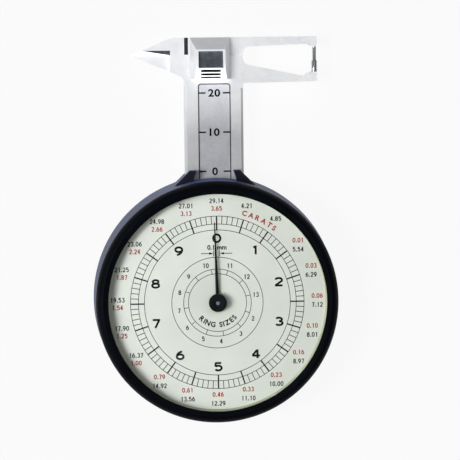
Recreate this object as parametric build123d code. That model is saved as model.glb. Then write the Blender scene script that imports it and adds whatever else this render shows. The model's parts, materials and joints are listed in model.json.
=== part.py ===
from build123d import *
from math import acos, atan2, cos, degrees, pi, radians, sin, sqrt, tan
import os

# A pocket dial gauge that lies on its back. Millimetres.
# Origin: on the pointer's axis, in the back face. +Z points out of the dial,
# +Y runs along the stem to the jaws, +X points to the outside jaws.

# How far the jaws open
travel = 22.0

# Gaps between pieces, and how far a cutter runs past a face
running_gap = 0.10
press_gap = 0.05
plate_fit = 0.3
cover_fit = 0.15
strip_fit = 0.03
window_gap = 0.12
bush_fit = 0.03
thread_gap = 0.02
blind_gap = 0.2
past = 1.0

# Case and its back cover
case_back_radius = 31.4
case_draft = 0.7
case_wall = 2.4
back_edge = 0.8
cover_thickness = 1.4
ledge_width = 1.6
ledge_thickness = 0.9
dial_recess_wall = 1.1
dial_recess_depth = 0.8

# Lug of the case where the stem goes in, seen from the front as a low trapezium
lug_rise = 1.75
lug_half_top = 6.4
lug_half_foot = 10.2
lug_foot_sink = 0.3
lug_roof = 2.9
lug_edge = 0.5
lug_notch_half_top = 4.35
lug_notch_half_foot = 5.45
lug_notch_sink = 0.3

# Fixed beam behind, moving slide in front, and the gibs that hold them together
stem_half_width = 7.5
stem_bevel_width = 0.6
stem_bevel_depth = 0.5
flange_width = 1.5
beam_thickness = 1.8
slide_thickness = 2.0
gib_thickness = 0.55
gib_rib_gap = 0.5
gib_top_drop = 8.4
gib_screw_inset = 3.0
gib_screw_count = 4
gib_hole_depth = 1.2
tail_bottom_y = -1.2
stop_length = 1.8
stop_half_width = 4.0
rib_half_width = 3.6
rib_inset = 1.15
beam_screw_low_inset = 7.1
beam_screw_high_inset = 10.0

# Outside jaws at the right: the beam's upper arm and the slide's lower arm.
# Y of all jaws is counted from the line where slide and beam part
head_top_y = 4.43
head_left_gap = 1.02
slot_floor_lap = 0.4
jaw_right_x = 26.4
jaw_window_radius = 1.85
arm_root_y = 1.96
arm_under_x = 23.6
arm_under_y = 2.50
pin_seat_x = 24.5
pin_seat_y = 1.99
lower_arm_root_y = -2.32
lower_arm_valley_x = 22.3
lower_arm_valley_y = -5.43
valley_end_x = 23.6
anvil_x = 24.3
anvil_y = -4.57
anvil_reach = 0.07
lower_arm_foot_y = -7.23
lower_arm_foot_tip_y = -6.95
jaw_corner = 0.6
jaw_edge = 0.25

# Contact pin of the upper arm
pin_inset = 0.48
pin_radius = 0.53
pin_foot_radius = 0.77
pin_taper_y = -1.6
pin_taper_length = 0.5
pin_seat_depth = 1.2
pin_touch_gap = 0.02

# Inside jaws at the left: crossing prongs, the slide's in front of the beam's.
# Their knife edges lie on the parting line
prong_tip_x = -21.2
tip_height = 0.12
prong_shoulder_x = -17.5
prong_shoulder_y = 1.41
prong_crown_x = -11.4
prong_crown_y = 4.10
prong_flat_x = -10.35
prong_right_inset = 0.13
knife_bevel = 1.20
prong_root_x = -10.94
prong_root_y = -4.25
prong_heel_y = -5.82
prong_heel_radius = 1.9
rear_prong_heel_y = -6.1
flange_relief = 0.8

# Window in the slide and the scale strip in it
window_half_width = 4.15
window_middle_x = 0.15
window_head = 7.25
window_sink = 3.15
window_corner = 0.75
strip_thickness = 1.45

# Thumb block on the slide, which hangs over the beam's head. Y as for the jaws
block_centre_x = -0.80
block_half_foot = 5.10
block_half_top = 3.70
block_top_inset = 0.05
block_crest_y = 1.40
block_brow_y = -3.45
block_chin_y = -5.95
block_foot_y = -6.15
block_stop_gap = 1.10
block_height = 3.70
block_chin_height = 2.75
block_hang_gap = 0.15
block_seat_inset = 0.3
block_screw_half_spread = 2.6
block_screw_y = -2.8
block_hole_depth = 1.9
recess_half_width = 3.10
recess_top_y = 0.97
recess_bottom_y = -3.23
recess_depth = 1.2
insert_thickness = 0.5
groove_half_length = 2.6
groove_depth = 0.45
groove_places = [(-4.01, 0.62), (-4.88, 0.56), (-5.65, 0.40)]

# Gear train: rack, rack pinion, drive wheel, centre pinion
rack_pitch = 1.0
rack_pinion_teeth = 20
drive_wheel_teeth = 60
centre_pinion_teeth = 30
train_module = 0.25
pressure_angle = 20.0
addendum = 0.95
dedendum = 1.25
root_ease = 1.12
flank_points = 4
backlash = 0.06
mesh_height_y = 0.8
rack_thickness = 1.2
rack_seat = 2.66
rack_spare_teeth = 2
rack_screw_low_inset = 4.7
rack_screw_high_inset = 5.3
rack_pinion_thickness = 1.0
wheel_gap = 0.35
mesh_overlap = 0.15
drive_wheel_thickness = 0.6
centre_pinion_thickness = 0.9

# Movement plates and what carries the arbors
plate_gap = 1.5
plate_thickness = 1.0
bridge_clearance = 2.0
bridge_thickness = 0.8
bridge_edge = 1.0
bridge_tail_x = -7.0
bridge_half_width = 6.5
bridge_wheel_gap = 1.04
cock_thickness = 0.8
cock_gap = 0.55
cock_edge = 0.7
cock_reach = 6.28
cock_half_spread = 5.3
pillar_radius = 1.2
pillar_spigot_radius = 0.72
pillar_hole_depth = 1.6
bush_radius = 1.5
cock_bush_radius = 1.1
end_shake = 0.05
arbor_radius = 0.9
arbor_neck_radius = 0.6
arbor_pivot_radius = 0.42

# Hairspring on the centre arbor
hair_width = 0.12
hair_height = 0.3
hair_pitch = 0.45
hair_turns = 5
collet_gap = 0.05
collet_radius = 1.7
collet_edge = 0.1
stud_radius = 0.35

# Return spring beside the tail, its pin on the slide's ear and its post
spring_side_gap = 2.7
spring_ear_gap = 0.9
spring_post_inset = 3.38
spring_radius = 1.0
spring_wire_radius = 0.2
spring_pitch = 1.05
spring_lead = 2.4
spring_bend = 0.04
ear_thickness = 0.6
ear_width = 2.2
ear_margin = 1.2
ear_pin_inset = 1.0
post_radius = 0.6
post_head_radius = 0.95
post_head_gap = 0.5
post_head_height = 0.4

# Dial, pointer, crystal and bezel
dial_clearance = 0.25
dial_thickness = 0.5
dial_fit = 0.2
dial_hole_radius = 1.0
spacer_height = 1.1
spacer_show = 0.15
spacer_flare = 0.2
pointer_gap = 0.9
pointer_thickness = 0.25
pointer_length = 20.3
pointer_root_width = 0.95
pointer_tip_width = 0.22
pointer_ring_radius = 1.4
pointer_lean = 1.7
hub_radius = 2.3
hub_height = 1.45
hub_edge = 0.35
arbor_top_radius = 0.38
arbor_proud = 0.1
crystal_lip = 0.95
crystal_flange_height = 0.7
crystal_wall = 0.6
crystal_rise = 1.5
crystal_shoulder = 0.5
bezel_rise = 3.0
bezel_inner_rise = 2.85
bezel_slope_width = 1.25
bezel_skirt_wall = 0.8
bezel_bulge_in = 0.51
bezel_bulge_up = 2.16

# Screws: shank radius, head radius, head height. A slot is a share of the head
cover_screw = (0.9, 1.7, 0.9)
beam_screw = (0.8, 1.6, 0.9)
plate_screw = (0.7, 1.3, 0.6)
bridge_screw = (0.5, 1.0, 0.45)
gib_screw = (0.4, 0.62, 0.3)
rack_screw = (0.45, 0.9, 0.45)
block_screw = (0.6, 1.1, 0.55)
stop_screw = (0.5, 1.0, 0.5)
slot_width_share = 0.28
slot_depth_share = 0.5
cover_post_radius = 2.2
cover_post_inset = 1.6
cover_post_angles = [30, 150, 210, 330]
post_top_wall = 1.0
plate_boss_radius = 1.8
plate_boss_inset = 1.2
plate_boss_angles = [45, 135, 225, 315]
boss_hole_depth = 2.0

# Heights that follow
gib_z = cover_thickness + cover_fit
gib_top_z = gib_z + gib_thickness
beam_z = gib_top_z + running_gap
beam_top_z = beam_z + beam_thickness
slide_z = beam_top_z + running_gap
slide_top_z = slide_z + slide_thickness
pin_z = (beam_z + slide_top_z) / 2
lug_front_z = slide_top_z + lug_roof
rack_z = slide_top_z
rack_top_z = rack_z + rack_thickness
cock_z = rack_z - cock_gap - cock_thickness
cock_top_z = cock_z + cock_thickness
plate_z = slide_top_z + plate_gap
plate_top_z = plate_z + plate_thickness
wheel_z = plate_top_z + wheel_gap
hair_z = wheel_z + drive_wheel_thickness + wheel_gap
bridge_z = plate_top_z + bridge_clearance
bridge_top_z = bridge_z + bridge_thickness
dial_z = bridge_top_z + bridge_screw[2] + dial_clearance
dial_top_z = dial_z + dial_thickness
ledge_z = dial_z - ledge_thickness
case_front_z = dial_z + dial_recess_depth
spacer_top_z = dial_top_z + spacer_height
flange_top_z = spacer_top_z + crystal_flange_height
pointer_z = dial_top_z + pointer_gap
hub_z = pointer_z + pointer_thickness
hub_top_z = hub_z + hub_height
spring_z = slide_z + ear_thickness + spring_ear_gap

# Radii that follow
case_front_radius = case_back_radius - case_draft
cavity_radius = case_back_radius - case_wall
dial_ledge_radius = cavity_radius - ledge_width
dial_recess_radius = case_front_radius - dial_recess_wall
bezel_skirt_radius = dial_recess_radius - running_gap
bezel_bore_radius = bezel_skirt_radius - bezel_skirt_wall
crystal_flange_radius = bezel_bore_radius - running_gap
crystal_radius = crystal_flange_radius - crystal_lip
bezel_inner_radius = crystal_radius + running_gap
bezel_crest_radius = bezel_inner_radius + bezel_slope_width
spacer_inner_radius = crystal_radius - spacer_show
dial_radius = crystal_flange_radius - dial_fit
cover_post_ring = cavity_radius - cover_post_inset
plate_boss_ring = dial_ledge_radius - plate_boss_inset
hair_inner_radius = collet_radius + collet_gap
hair_outer_radius = hair_inner_radius + hair_pitch * hair_turns

# Places that follow across the stem
passage_half_width = stem_half_width + running_gap
flange_inner = stem_half_width - flange_width
beam_half_width = flange_inner - running_gap
flange_middle_x = (stem_half_width + flange_inner) / 2
prong_right_x = prong_right_inset - stem_half_width
head_left_x = prong_right_x + head_left_gap
pin_x = jaw_right_x - pin_inset
spring_x = -stem_half_width - spring_side_gap

# Places that follow along the stem: the block stops short of the lug when fully open
lug_top_y = case_back_radius + lug_rise
lug_foot_y = sqrt(case_back_radius ** 2 - lug_half_foot ** 2) - lug_foot_sink
lug_notch_foot_y = case_back_radius - lug_notch_sink
parting_y = lug_top_y + block_stop_gap + travel - block_foot_y
window_top_y = parting_y - window_head
window_bottom_y = lug_top_y - window_sink
gib_top_y = parting_y - gib_top_drop
stop_top_y = tail_bottom_y - travel - running_gap
stop_middle_y = stop_top_y - stop_length / 2
beam_bottom_y = stop_top_y - stop_length
rib_top_y = lug_top_y - rib_inset
beam_screw_places = [beam_bottom_y + beam_screw_low_inset, rib_top_y - beam_screw_high_inset]
spring_bottom_y = tail_bottom_y + ear_pin_inset
spring_top_y = sqrt((cavity_radius - spring_post_inset) ** 2 - spring_x ** 2)
block_top_y = head_top_y - block_top_inset
block_screw_places = [
    (block_centre_x - block_screw_half_spread, parting_y + block_screw_y),
    (block_centre_x + block_screw_half_spread, parting_y + block_screw_y),
]
gib_screw_step = (gib_top_y - tail_bottom_y - 2 * gib_screw_inset) / (gib_screw_count - 1)
gib_screw_places = [
    (side * flange_middle_x, tail_bottom_y + gib_screw_inset + k * gib_screw_step)
    for side in (-1, 1)
    for k in range(gib_screw_count)
]

# Places that follow from the gears
train_distance = train_module * (drive_wheel_teeth + centre_pinion_teeth) / 2
mesh_x = sqrt(train_distance ** 2 - mesh_height_y ** 2)
mesh_place = (mesh_x, mesh_height_y)
line_of_centres = degrees(atan2(mesh_height_y, mesh_x))
rack_module = rack_pitch / pi
rack_line_x = mesh_x - rack_module * rack_pinion_teeth / 2
rack_back_x = stem_half_width - rack_seat
rack_top_y = mesh_height_y + travel + (rack_spare_teeth + 0.5) * rack_pitch
rack_bottom_y = mesh_height_y - rack_spare_teeth * rack_pitch
rack_screw_x = (rack_back_x + stem_half_width - stem_bevel_width) / 2
rack_screw_places = [
    (rack_screw_x, rack_bottom_y + rack_screw_low_inset),
    (rack_screw_x, rack_top_y - rack_screw_high_inset),
]
drive_wheel_tip = train_module * (drive_wheel_teeth / 2 + addendum)
bridge_pillar_places = [
    (bridge_tail_x, bridge_half_width),
    (bridge_tail_x, -bridge_half_width),
    (mesh_x + drive_wheel_tip + pillar_radius + bridge_wheel_gap, mesh_height_y),
]
cock_pillar_places = [
    (mesh_x + cock_reach, mesh_height_y - cock_half_spread),
    (mesh_x + cock_reach, mesh_height_y + cock_half_spread),
]
stud_place = (-hair_outer_radius - hair_width / 2 - stud_radius, 0.0)


def box(x0, x1, y0, y1, z0, z1):
    """Block between two corners."""
    centre = ((x0 + x1) / 2, (y0 + y1) / 2, (z0 + z1) / 2)
    return Pos(*centre) * Box(x1 - x0, y1 - y0, z1 - z0)


def disc(x, y, radius, z0, z1):
    """Upright cylinder at x, y from z0 to z1."""
    return Pos(x, y, (z0 + z1) / 2) * Cylinder(radius, z1 - z0)


def through(x, y, radius, z0, z1):
    """Cutter for a round hole from z0 to z1, which runs past both faces."""
    return disc(x, y, radius, z0 - past, z1 + past)


def rod(x, y0, y1, radius):
    """Cylinder along Y at the middle of the jaws' thickness."""
    return Pos(x, (y0 + y1) / 2, pin_z) * (Rot(90, 0, 0) * Cylinder(radius, y1 - y0))


def plate(points, z0, z1, rounds=()):
    """Flat plate with a straight sided outline; rounds are corners with their radii."""
    outline = make_face(Polyline(*points, close=True))
    for corner, radius in rounds:
        nearest = outline.vertices().sort_by_distance((*corner, 0))[0]
        outline = fillet(nearest, radius)
    return Pos(0, 0, z0) * extrude(outline, z1 - z0)


def jaw_plate(points, z0, z1, rounds=()):
    """Flat plate of the jaws, whose Y is counted from the parting line."""
    return Pos(0, parting_y, 0) * plate(points, z0, z1, rounds)


def knife_cutter(points):
    """Three sided cutter along the prongs, from points of jaw Y and Z."""
    profile = Plane.YZ.offset(prong_tip_x - past) * make_face(Polyline(*points, close=True))
    return Pos(0, parting_y, 0) * extrude(profile, prong_root_x - prong_tip_x + past)


def turned(points):
    """Body turned about Z from a profile of radius and height."""
    profile = make_face(Polyline(*[(r, 0, z) for r, z in points], close=True))
    return revolve(profile, Axis.Z, 360)


def stacked(x, y, steps):
    """Arbor at x, y: steps are radius, lower z and upper z."""
    arbor = disc(x, y, *steps[0])
    for step in steps[1:]:
        arbor += disc(x, y, *step)
    return arbor


def polar(radius, angle):
    """Place on a circle about the pointer's axis, angle in degrees."""
    return radius * cos(radians(angle)), radius * sin(radians(angle))


def ring_places(radius, angles):
    """Places on one circle about the pointer's axis."""
    return [polar(radius, angle) for angle in angles]


def head_slot(size, low, high):
    """Cutter for a screw's slot between two heights."""
    half = size[1] * slot_width_share / 2
    return box(-size[1], size[1], -half, half, low, high)


def faced(shape, x, y, face_z, up):
    """Put a screw or its hole at x, y on face_z, with its shank along up."""
    if up < 0:
        shape = Rot(180, 0, 0) * shape
    return Pos(x, y, face_z) * shape


def sunk_screw(x, y, size, face_z, depth, up=1):
    """Countersunk screw whose head is flush with face_z."""
    shank, head, height = size
    screw = Solid.make_cone(head, shank, height) + disc(0, 0, shank, height, depth)
    screw = screw - head_slot(size, -past, height * slot_depth_share)
    return faced(screw, x, y, face_z, up)


def sunk_hole(x, y, size, face_z, depth, up=1):
    """Hole for sunk_screw, with a little room round it."""
    shank, head, height = size
    hole = Solid.make_cone(head + thread_gap, shank + thread_gap, height)
    hole += disc(0, 0, shank + thread_gap, -past, depth)
    return faced(hole, x, y, face_z, up)


def cheese_screw(x, y, size, face_z, depth, up=1):
    """Flat headed screw that sits on face_z."""
    shank, head, height = size
    screw = disc(0, 0, head, -height, 0) + disc(0, 0, shank, 0, depth)
    screw = screw - head_slot(size, -height - past, -height * slot_depth_share)
    return faced(screw, x, y, face_z, up)


def tapped(x, y, size, z0, z1):
    """Threaded hole for a screw's shank, exactly from z0 to z1."""
    return disc(x, y, size[0] + thread_gap, z0, z1)


def tapped_through(x, y, size, z0, z1):
    """Hole for a screw's shank that runs past both faces."""
    return through(x, y, size[0] + thread_gap, z0, z1)


def hull_plate(places, radius, z0, z1):
    """Plate whose outline is stretched round equal circles."""
    rounds = Sketch()
    for x, y in places:
        rounds += Pos(x, y) * Circle(radius)
    outline = make_hull(rounds.edges())
    return Pos(0, 0, z0) * extrude(outline, z1 - z0)


def bush(x, y, outer, inner, z0, z1):
    """Plain bearing bush."""
    return disc(x, y, outer, z0, z1) - through(x, y, inner + bush_fit, z0, z1)


def involute(angle):
    """Involute function of a pressure angle in radians."""
    return tan(angle) - angle


def gear(teeth, module, thickness, phase):
    """Spur gear about Z on an arbor, with a tooth centred at phase degrees."""
    pitch_radius = teeth * module / 2
    base_radius = pitch_radius * cos(radians(pressure_angle))
    tip_radius = pitch_radius + module * addendum
    root_radius = pitch_radius - module * dedendum
    half = pi / (2 * teeth) - backlash / (2 * pitch_radius)
    low = max(base_radius, root_radius)
    flank = []
    for k in range(flank_points):
        radius = low + (tip_radius - low) * k / (flank_points - 1)
        slope = acos(min(1.0, base_radius / radius))
        lean = half + involute(radians(pressure_angle)) - involute(slope)
        flank.append((radius, lean))
    if root_radius < low:
        flank.insert(0, (root_radius, flank[0][1] * root_ease))
    points = []
    for tooth in range(teeth):
        middle = radians(phase) + 2 * pi * tooth / teeth
        points += [(radius * cos(middle - lean), radius * sin(middle - lean)) for radius, lean in flank]
        far_flank = reversed(flank)
        points += [(radius * cos(middle + lean), radius * sin(middle + lean)) for radius, lean in far_flank]
    outline = make_face(Polyline(*points, close=True))
    return extrude(outline, thickness) - Cylinder(arbor_radius, 2 * thickness + past)


def lug_outline():
    """Trapezium of the lug, from inside the round wall to its flat top."""
    return [
        (-lug_half_foot, 0),
        (-lug_half_foot, lug_foot_y),
        (-lug_half_top, lug_top_y),
        (lug_half_top, lug_top_y),
        (lug_half_foot, lug_foot_y),
        (lug_half_foot, 0),
    ]


def make_rear_cover():
    """Flat back with a bevelled rim, a tongue under the stem and a rib under the beam."""
    cover = turned(
        [
            (0, 0),
            (case_back_radius - back_edge, 0),
            (case_back_radius, back_edge),
            (case_back_radius, cover_thickness),
            (0, cover_thickness),
        ]
    )
    cover += plate(lug_outline(), 0, cover_thickness)
    cover += box(-rib_half_width, rib_half_width, beam_bottom_y, rib_top_y, cover_thickness, beam_z)
    for x, y in ring_places(cover_post_ring, cover_post_angles):
        cover -= sunk_hole(x, y, cover_screw, 0, cover_thickness + past)
    for y in beam_screw_places:
        cover -= sunk_hole(0, y, beam_screw, 0, beam_z + past)
    return cover


def make_case_shell():
    """Round wall with the lug, the ledge for the dial, and posts and bosses for the screws."""
    wall = turned(
        [
            (cavity_radius, cover_thickness),
            (case_back_radius, cover_thickness),
            (case_front_radius, case_front_z),
            (dial_recess_radius, case_front_z),
            (dial_recess_radius, dial_z),
            (dial_ledge_radius, dial_z),
            (dial_ledge_radius, ledge_z),
            (cavity_radius, ledge_z),
        ]
    )
    lug = plate(lug_outline(), cover_thickness, lug_front_z)
    front = lug.faces().sort_by(Axis.Z)[-1]
    lug = chamfer(front.edges().filter_by(lambda edge: edge.center().Y > lug_foot_y), lug_edge)
    lug -= disc(0, 0, cavity_radius, 0, case_front_z)
    notch = [
        (-lug_notch_half_foot, 0),
        (-lug_notch_half_foot, lug_notch_foot_y),
        (-lug_notch_half_top, lug_top_y + past),
        (lug_notch_half_top, lug_top_y + past),
        (lug_notch_half_foot, lug_notch_foot_y),
        (lug_notch_half_foot, 0),
    ]
    lug -= plate(notch, slide_z, lug_front_z + past)
    shell = wall + lug
    for x, y in ring_places(cover_post_ring, cover_post_angles):
        shell += disc(x, y, cover_post_radius, cover_thickness, plate_z - cover_fit)
        shell -= tapped(x, y, cover_screw, 0, plate_z - post_top_wall)
    for x, y in ring_places(plate_boss_ring, plate_boss_angles):
        shell += disc(x, y, plate_boss_radius, plate_top_z, dial_z - ledge_thickness / 2)
        shell -= tapped(x, y, plate_screw, plate_z, plate_top_z + boss_hole_depth)
    passage = box(
        -passage_half_width,
        passage_half_width,
        cavity_radius / 2,
        lug_top_y + past,
        cover_thickness - past,
        slide_top_z + running_gap,
    )
    return shell - passage


def make_cover_screws():
    """Four countersunk screws through the back into the posts."""
    depth = plate_z - post_top_wall - blind_gap
    places = ring_places(cover_post_ring, cover_post_angles)
    return Compound([sunk_screw(x, y, cover_screw, 0, depth) for x, y in places])


def make_beam():
    """Fixed bar with the head, the upper outside arm and the rear inside prong."""
    bar_top_y = parting_y + arm_root_y
    beam = box(-beam_half_width, beam_half_width, beam_bottom_y, bar_top_y, beam_z, beam_top_z)
    window_corner_place = (stem_half_width, arm_root_y)
    outer_corner = (jaw_right_x, head_top_y)
    beam += jaw_plate(
        [
            (head_left_x, running_gap),
            (stem_half_width, running_gap),
            window_corner_place,
            (arm_under_x, arm_under_y),
            (pin_seat_x, pin_seat_y),
            (jaw_right_x, pin_seat_y),
            outer_corner,
            (head_left_x, head_top_y),
        ],
        beam_z,
        slide_top_z,
        [(window_corner_place, jaw_window_radius), (outer_corner, jaw_edge)],
    )
    slot_left_x = prong_right_x - slot_floor_lap
    beam += box(
        slot_left_x, head_left_x, parting_y + running_gap, parting_y + head_top_y, beam_z, beam_top_z
    )
    prong = jaw_plate(
        [
            (prong_tip_x, 0),
            (prong_tip_x, -tip_height),
            (prong_root_x, prong_root_y),
            (-beam_half_width, rear_prong_heel_y),
            (-beam_half_width, 0),
        ],
        beam_z,
        beam_top_z,
    )
    beam += prong - knife_cutter([(0, beam_top_z), (0, beam_z), (-knife_bevel, beam_z)])
    seat_y = parting_y + pin_seat_y
    beam -= rod(pin_x, seat_y - past, seat_y + pin_seat_depth, pin_radius + thread_gap)
    for y in beam_screw_places:
        beam -= tapped_through(0, y, beam_screw, beam_z, beam_top_z)
    return beam - tapped_through(0, stop_middle_y, stop_screw, beam_z, beam_top_z)


def make_contact_pin():
    """Round pin of the upper arm, with a thicker foot that meets the anvil."""
    foot_y = anvil_y + pin_touch_gap
    top_y = pin_seat_y + pin_seat_depth
    profile = Polyline(
        (0, foot_y),
        (pin_foot_radius, foot_y),
        (pin_foot_radius, pin_taper_y - pin_taper_length / 2),
        (pin_radius, pin_taper_y + pin_taper_length / 2),
        (pin_radius, top_y),
        (0, top_y),
        close=True,
    )
    return Pos(pin_x, parting_y, pin_z) * revolve(make_face(profile), Axis.Y, 360)


def make_beam_screws():
    """Screws through the back and its rib into the beam."""
    return Compound([sunk_screw(0, y, beam_screw, 0, beam_top_z - blind_gap) for y in beam_screw_places])


def make_travel_stop():
    """Block on the beam's lower end that the tail meets when the jaws are fully open."""
    block = box(-stop_half_width, stop_half_width, beam_bottom_y, stop_top_y, beam_top_z, slide_top_z)
    return block - sunk_hole(0, stop_middle_y, stop_screw, slide_top_z, slide_thickness + past, up=-1)


def make_stop_screw():
    """Screw that holds the stop on the beam."""
    return sunk_screw(0, stop_middle_y, stop_screw, slide_top_z, slide_top_z - beam_z, up=-1)


def slide_stem():
    """Channel of the slide with its bevelled front edges, from the tail to the parting line."""
    section = Polyline(
        (-stem_half_width, gib_top_z),
        (-flange_inner, gib_top_z),
        (-flange_inner, slide_z),
        (flange_inner, slide_z),
        (flange_inner, gib_top_z),
        (stem_half_width, gib_top_z),
        (stem_half_width, slide_top_z - stem_bevel_depth),
        (stem_half_width - stem_bevel_width, slide_top_z),
        (-stem_half_width + stem_bevel_width, slide_top_z),
        (-stem_half_width, slide_top_z - stem_bevel_depth),
        close=True,
    )
    stem = extrude(Plane.XZ * make_face(section), tail_bottom_y - parting_y)
    return Pos(0, tail_bottom_y, 0) * stem


def front_prong():
    """Inside prong of the slide with the plate that it grows from and its bevelled knife edge."""
    heel = (-stem_half_width, prong_heel_y)
    heel_low_y = prong_heel_y - prong_heel_radius
    prong = jaw_plate(
        [
            (prong_right_x, head_top_y),
            (prong_flat_x, head_top_y),
            (prong_crown_x, prong_crown_y),
            (prong_shoulder_x, prong_shoulder_y),
            (prong_tip_x, tip_height),
            (prong_tip_x, 0),
            (prong_root_x, 0),
            (prong_root_x, prong_root_y),
            heel,
            (-stem_half_width, heel_low_y),
            (0, heel_low_y),
            (0, 0),
            (prong_right_x, 0),
        ],
        slide_z,
        slide_top_z,
        [(heel, prong_heel_radius)],
    )
    return prong - knife_cutter([(0, slide_z), (knife_bevel, slide_top_z), (0, slide_top_z)])


def lower_arm():
    """Outside arm of the slide with its valley, its raised anvil and its foot on the stem."""
    arm_end_x = jaw_right_x + anvil_reach
    window_corner_place = (stem_half_width, lower_arm_root_y)
    valley_end = (valley_end_x, lower_arm_valley_y)
    outer_corner = (arm_end_x, lower_arm_foot_tip_y)
    inner_corner = (stem_half_width, lower_arm_foot_y)
    foot_low_y = lower_arm_foot_y - 2 * jaw_corner
    return jaw_plate(
        [
            (flange_inner, 0),
            (stem_half_width, 0),
            window_corner_place,
            (lower_arm_valley_x, lower_arm_valley_y),
            valley_end,
            (anvil_x, anvil_y),
            (arm_end_x, anvil_y),
            outer_corner,
            inner_corner,
            (stem_half_width, foot_low_y),
            (flange_inner, foot_low_y),
        ],
        gib_top_z,
        slide_top_z,
        [
            (window_corner_place, jaw_window_radius),
            (valley_end, jaw_edge),
            (outer_corner, jaw_corner),
            (inner_corner, jaw_corner),
        ],
    )


def make_slide():
    """Moving front plate: channel stem, lower outside arm, front inside prong and tail."""
    slide = slide_stem() + front_prong() + lower_arm()
    relief_y = parting_y + rear_prong_heel_y - flange_relief
    slide -= box(prong_root_x, -beam_half_width, relief_y, parting_y + head_top_y, 0, slide_z)
    window = Rectangle(2 * window_half_width, window_top_y - window_bottom_y)
    window = fillet(window.vertices().group_by(Axis.Y)[-1], window_corner)
    middle_y = (window_top_y + window_bottom_y) / 2
    slide -= Pos(window_middle_x, middle_y, slide_z - past) * extrude(window, slide_thickness + 2 * past)
    ear_left_x = spring_x - ear_margin
    ear_top_y = tail_bottom_y + ear_width
    slide += box(ear_left_x, -flange_inner, tail_bottom_y, ear_top_y, slide_z, slide_z + ear_thickness)
    slide -= through(spring_x, spring_bottom_y, post_radius, slide_z, slide_z + ear_thickness)
    for x, y in gib_screw_places:
        slide -= tapped(x, y, gib_screw, gib_z, gib_top_z + gib_hole_depth)
    for x, y in rack_screw_places:
        slide -= tapped_through(x, y, rack_screw, slide_z, slide_top_z)
    for x, y in block_screw_places:
        slide -= sunk_hole(x, y, block_screw, slide_z, slide_thickness + past)
    return slide


def make_scale_strip():
    """Strip with the whole millimetres, set back a little in the slide's window."""
    half = window_half_width - window_gap
    strip = Rectangle(2 * half, window_top_y - window_bottom_y - 2 * window_gap)
    strip = fillet(strip.vertices().group_by(Axis.Y)[-1], window_corner - window_gap)
    middle_y = (window_top_y + window_bottom_y) / 2
    return Pos(window_middle_x, middle_y, slide_z + strip_fit) * extrude(strip, strip_thickness)


def make_gib(side):
    """Thin strip behind one flange, which keeps the beam in the channel."""
    inner = rib_half_width + gib_rib_gap
    middle_x = side * (stem_half_width + inner) / 2
    half = (stem_half_width - inner) / 2
    gib = box(middle_x - half, middle_x + half, tail_bottom_y, gib_top_y, gib_z, gib_top_z)
    for x, y in gib_screw_places:
        if x * side > 0:
            gib -= sunk_hole(x, y, gib_screw, gib_z, gib_thickness + past)
    return gib


def make_gib_screws():
    """Small countersunk screws of both gibs."""
    depth = gib_thickness + gib_hole_depth - blind_gap
    return Compound([sunk_screw(x, y, gib_screw, gib_z, depth) for x, y in gib_screw_places])


def make_rack():
    """Rack on the tail; its teeth point to the rack pinion and one is level with it."""
    tip = rack_line_x + rack_module * addendum
    root = rack_line_x - rack_module * dedendum
    slope = tan(radians(pressure_angle))
    half = rack_pitch / 4 - backlash / 2
    wide = half + (rack_line_x - root) * slope
    thin = half - (tip - rack_line_x) * slope
    points = [(rack_back_x, rack_bottom_y), (root, rack_bottom_y)]
    last_tooth = int(travel / rack_pitch) + rack_spare_teeth
    for k in range(1 - rack_spare_teeth, last_tooth + 1):
        y = mesh_height_y + k * rack_pitch
        points += [(root, y - wide), (tip, y - thin), (tip, y + thin), (root, y + wide)]
    points += [(root, rack_top_y), (rack_back_x, rack_top_y)]
    rack = plate(points, rack_z, rack_top_z)
    for x, y in rack_screw_places:
        rack -= sunk_hole(x, y, rack_screw, rack_top_z, rack_thickness + past, up=-1)
    return rack


def make_rack_screws():
    """Countersunk screws of the rack."""
    depth = rack_thickness + slide_thickness - blind_gap
    return Compound([sunk_screw(x, y, rack_screw, rack_top_z, depth, up=-1) for x, y in rack_screw_places])


def make_thumb_block():
    """Wedge shaped block to pull the slide by, with a framed recess and three grooves."""
    foot = slide_top_z + block_hang_gap
    crest = slide_top_z + block_height
    chin = slide_top_z + block_chin_height
    profile = Polyline(
        (block_foot_y, foot),
        (block_chin_y, chin),
        (block_brow_y, crest),
        (block_crest_y, crest),
        (block_top_y, foot),
        close=True,
    )
    reach = block_half_foot + past
    block = extrude(Plane.YZ.offset(-reach) * make_face(profile), 2 * reach)
    flare = (block_half_foot - block_half_top) / (crest - foot)
    flanks = Polyline(
        (-block_half_foot - flare * past, foot - past),
        (-block_half_top + flare * past, crest + past),
        (block_half_top - flare * past, crest + past),
        (block_half_foot + flare * past, foot - past),
        close=True,
    )
    length = block_top_y - block_foot_y + 2 * past
    block &= Pos(0, block_top_y + past, 0) * extrude(Plane.XZ * make_face(flanks), length)
    pad_half = block_half_foot - block_seat_inset
    pad_top_z = foot + block_hang_gap
    block += box(-pad_half, pad_half, block_foot_y, -block_seat_inset, slide_top_z, pad_top_z)
    floor_z = crest - recess_depth
    block -= box(-recess_half_width, recess_half_width, recess_bottom_y, recess_top_y, floor_z, crest + past)
    slope = (block_height - block_chin_height) / (block_brow_y - block_chin_y)
    for y, width in groove_places:
        groove_z = crest - (block_brow_y - y) * slope - groove_depth
        groove = SlotOverall(2 * groove_half_length, width)
        block -= Pos(0, y, groove_z) * extrude(groove, groove_depth + past)
    block = Pos(block_centre_x, parting_y, 0) * block
    for x, y in block_screw_places:
        block -= tapped(x, y, block_screw, slide_z, slide_top_z + block_hole_depth)
    return block


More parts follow.
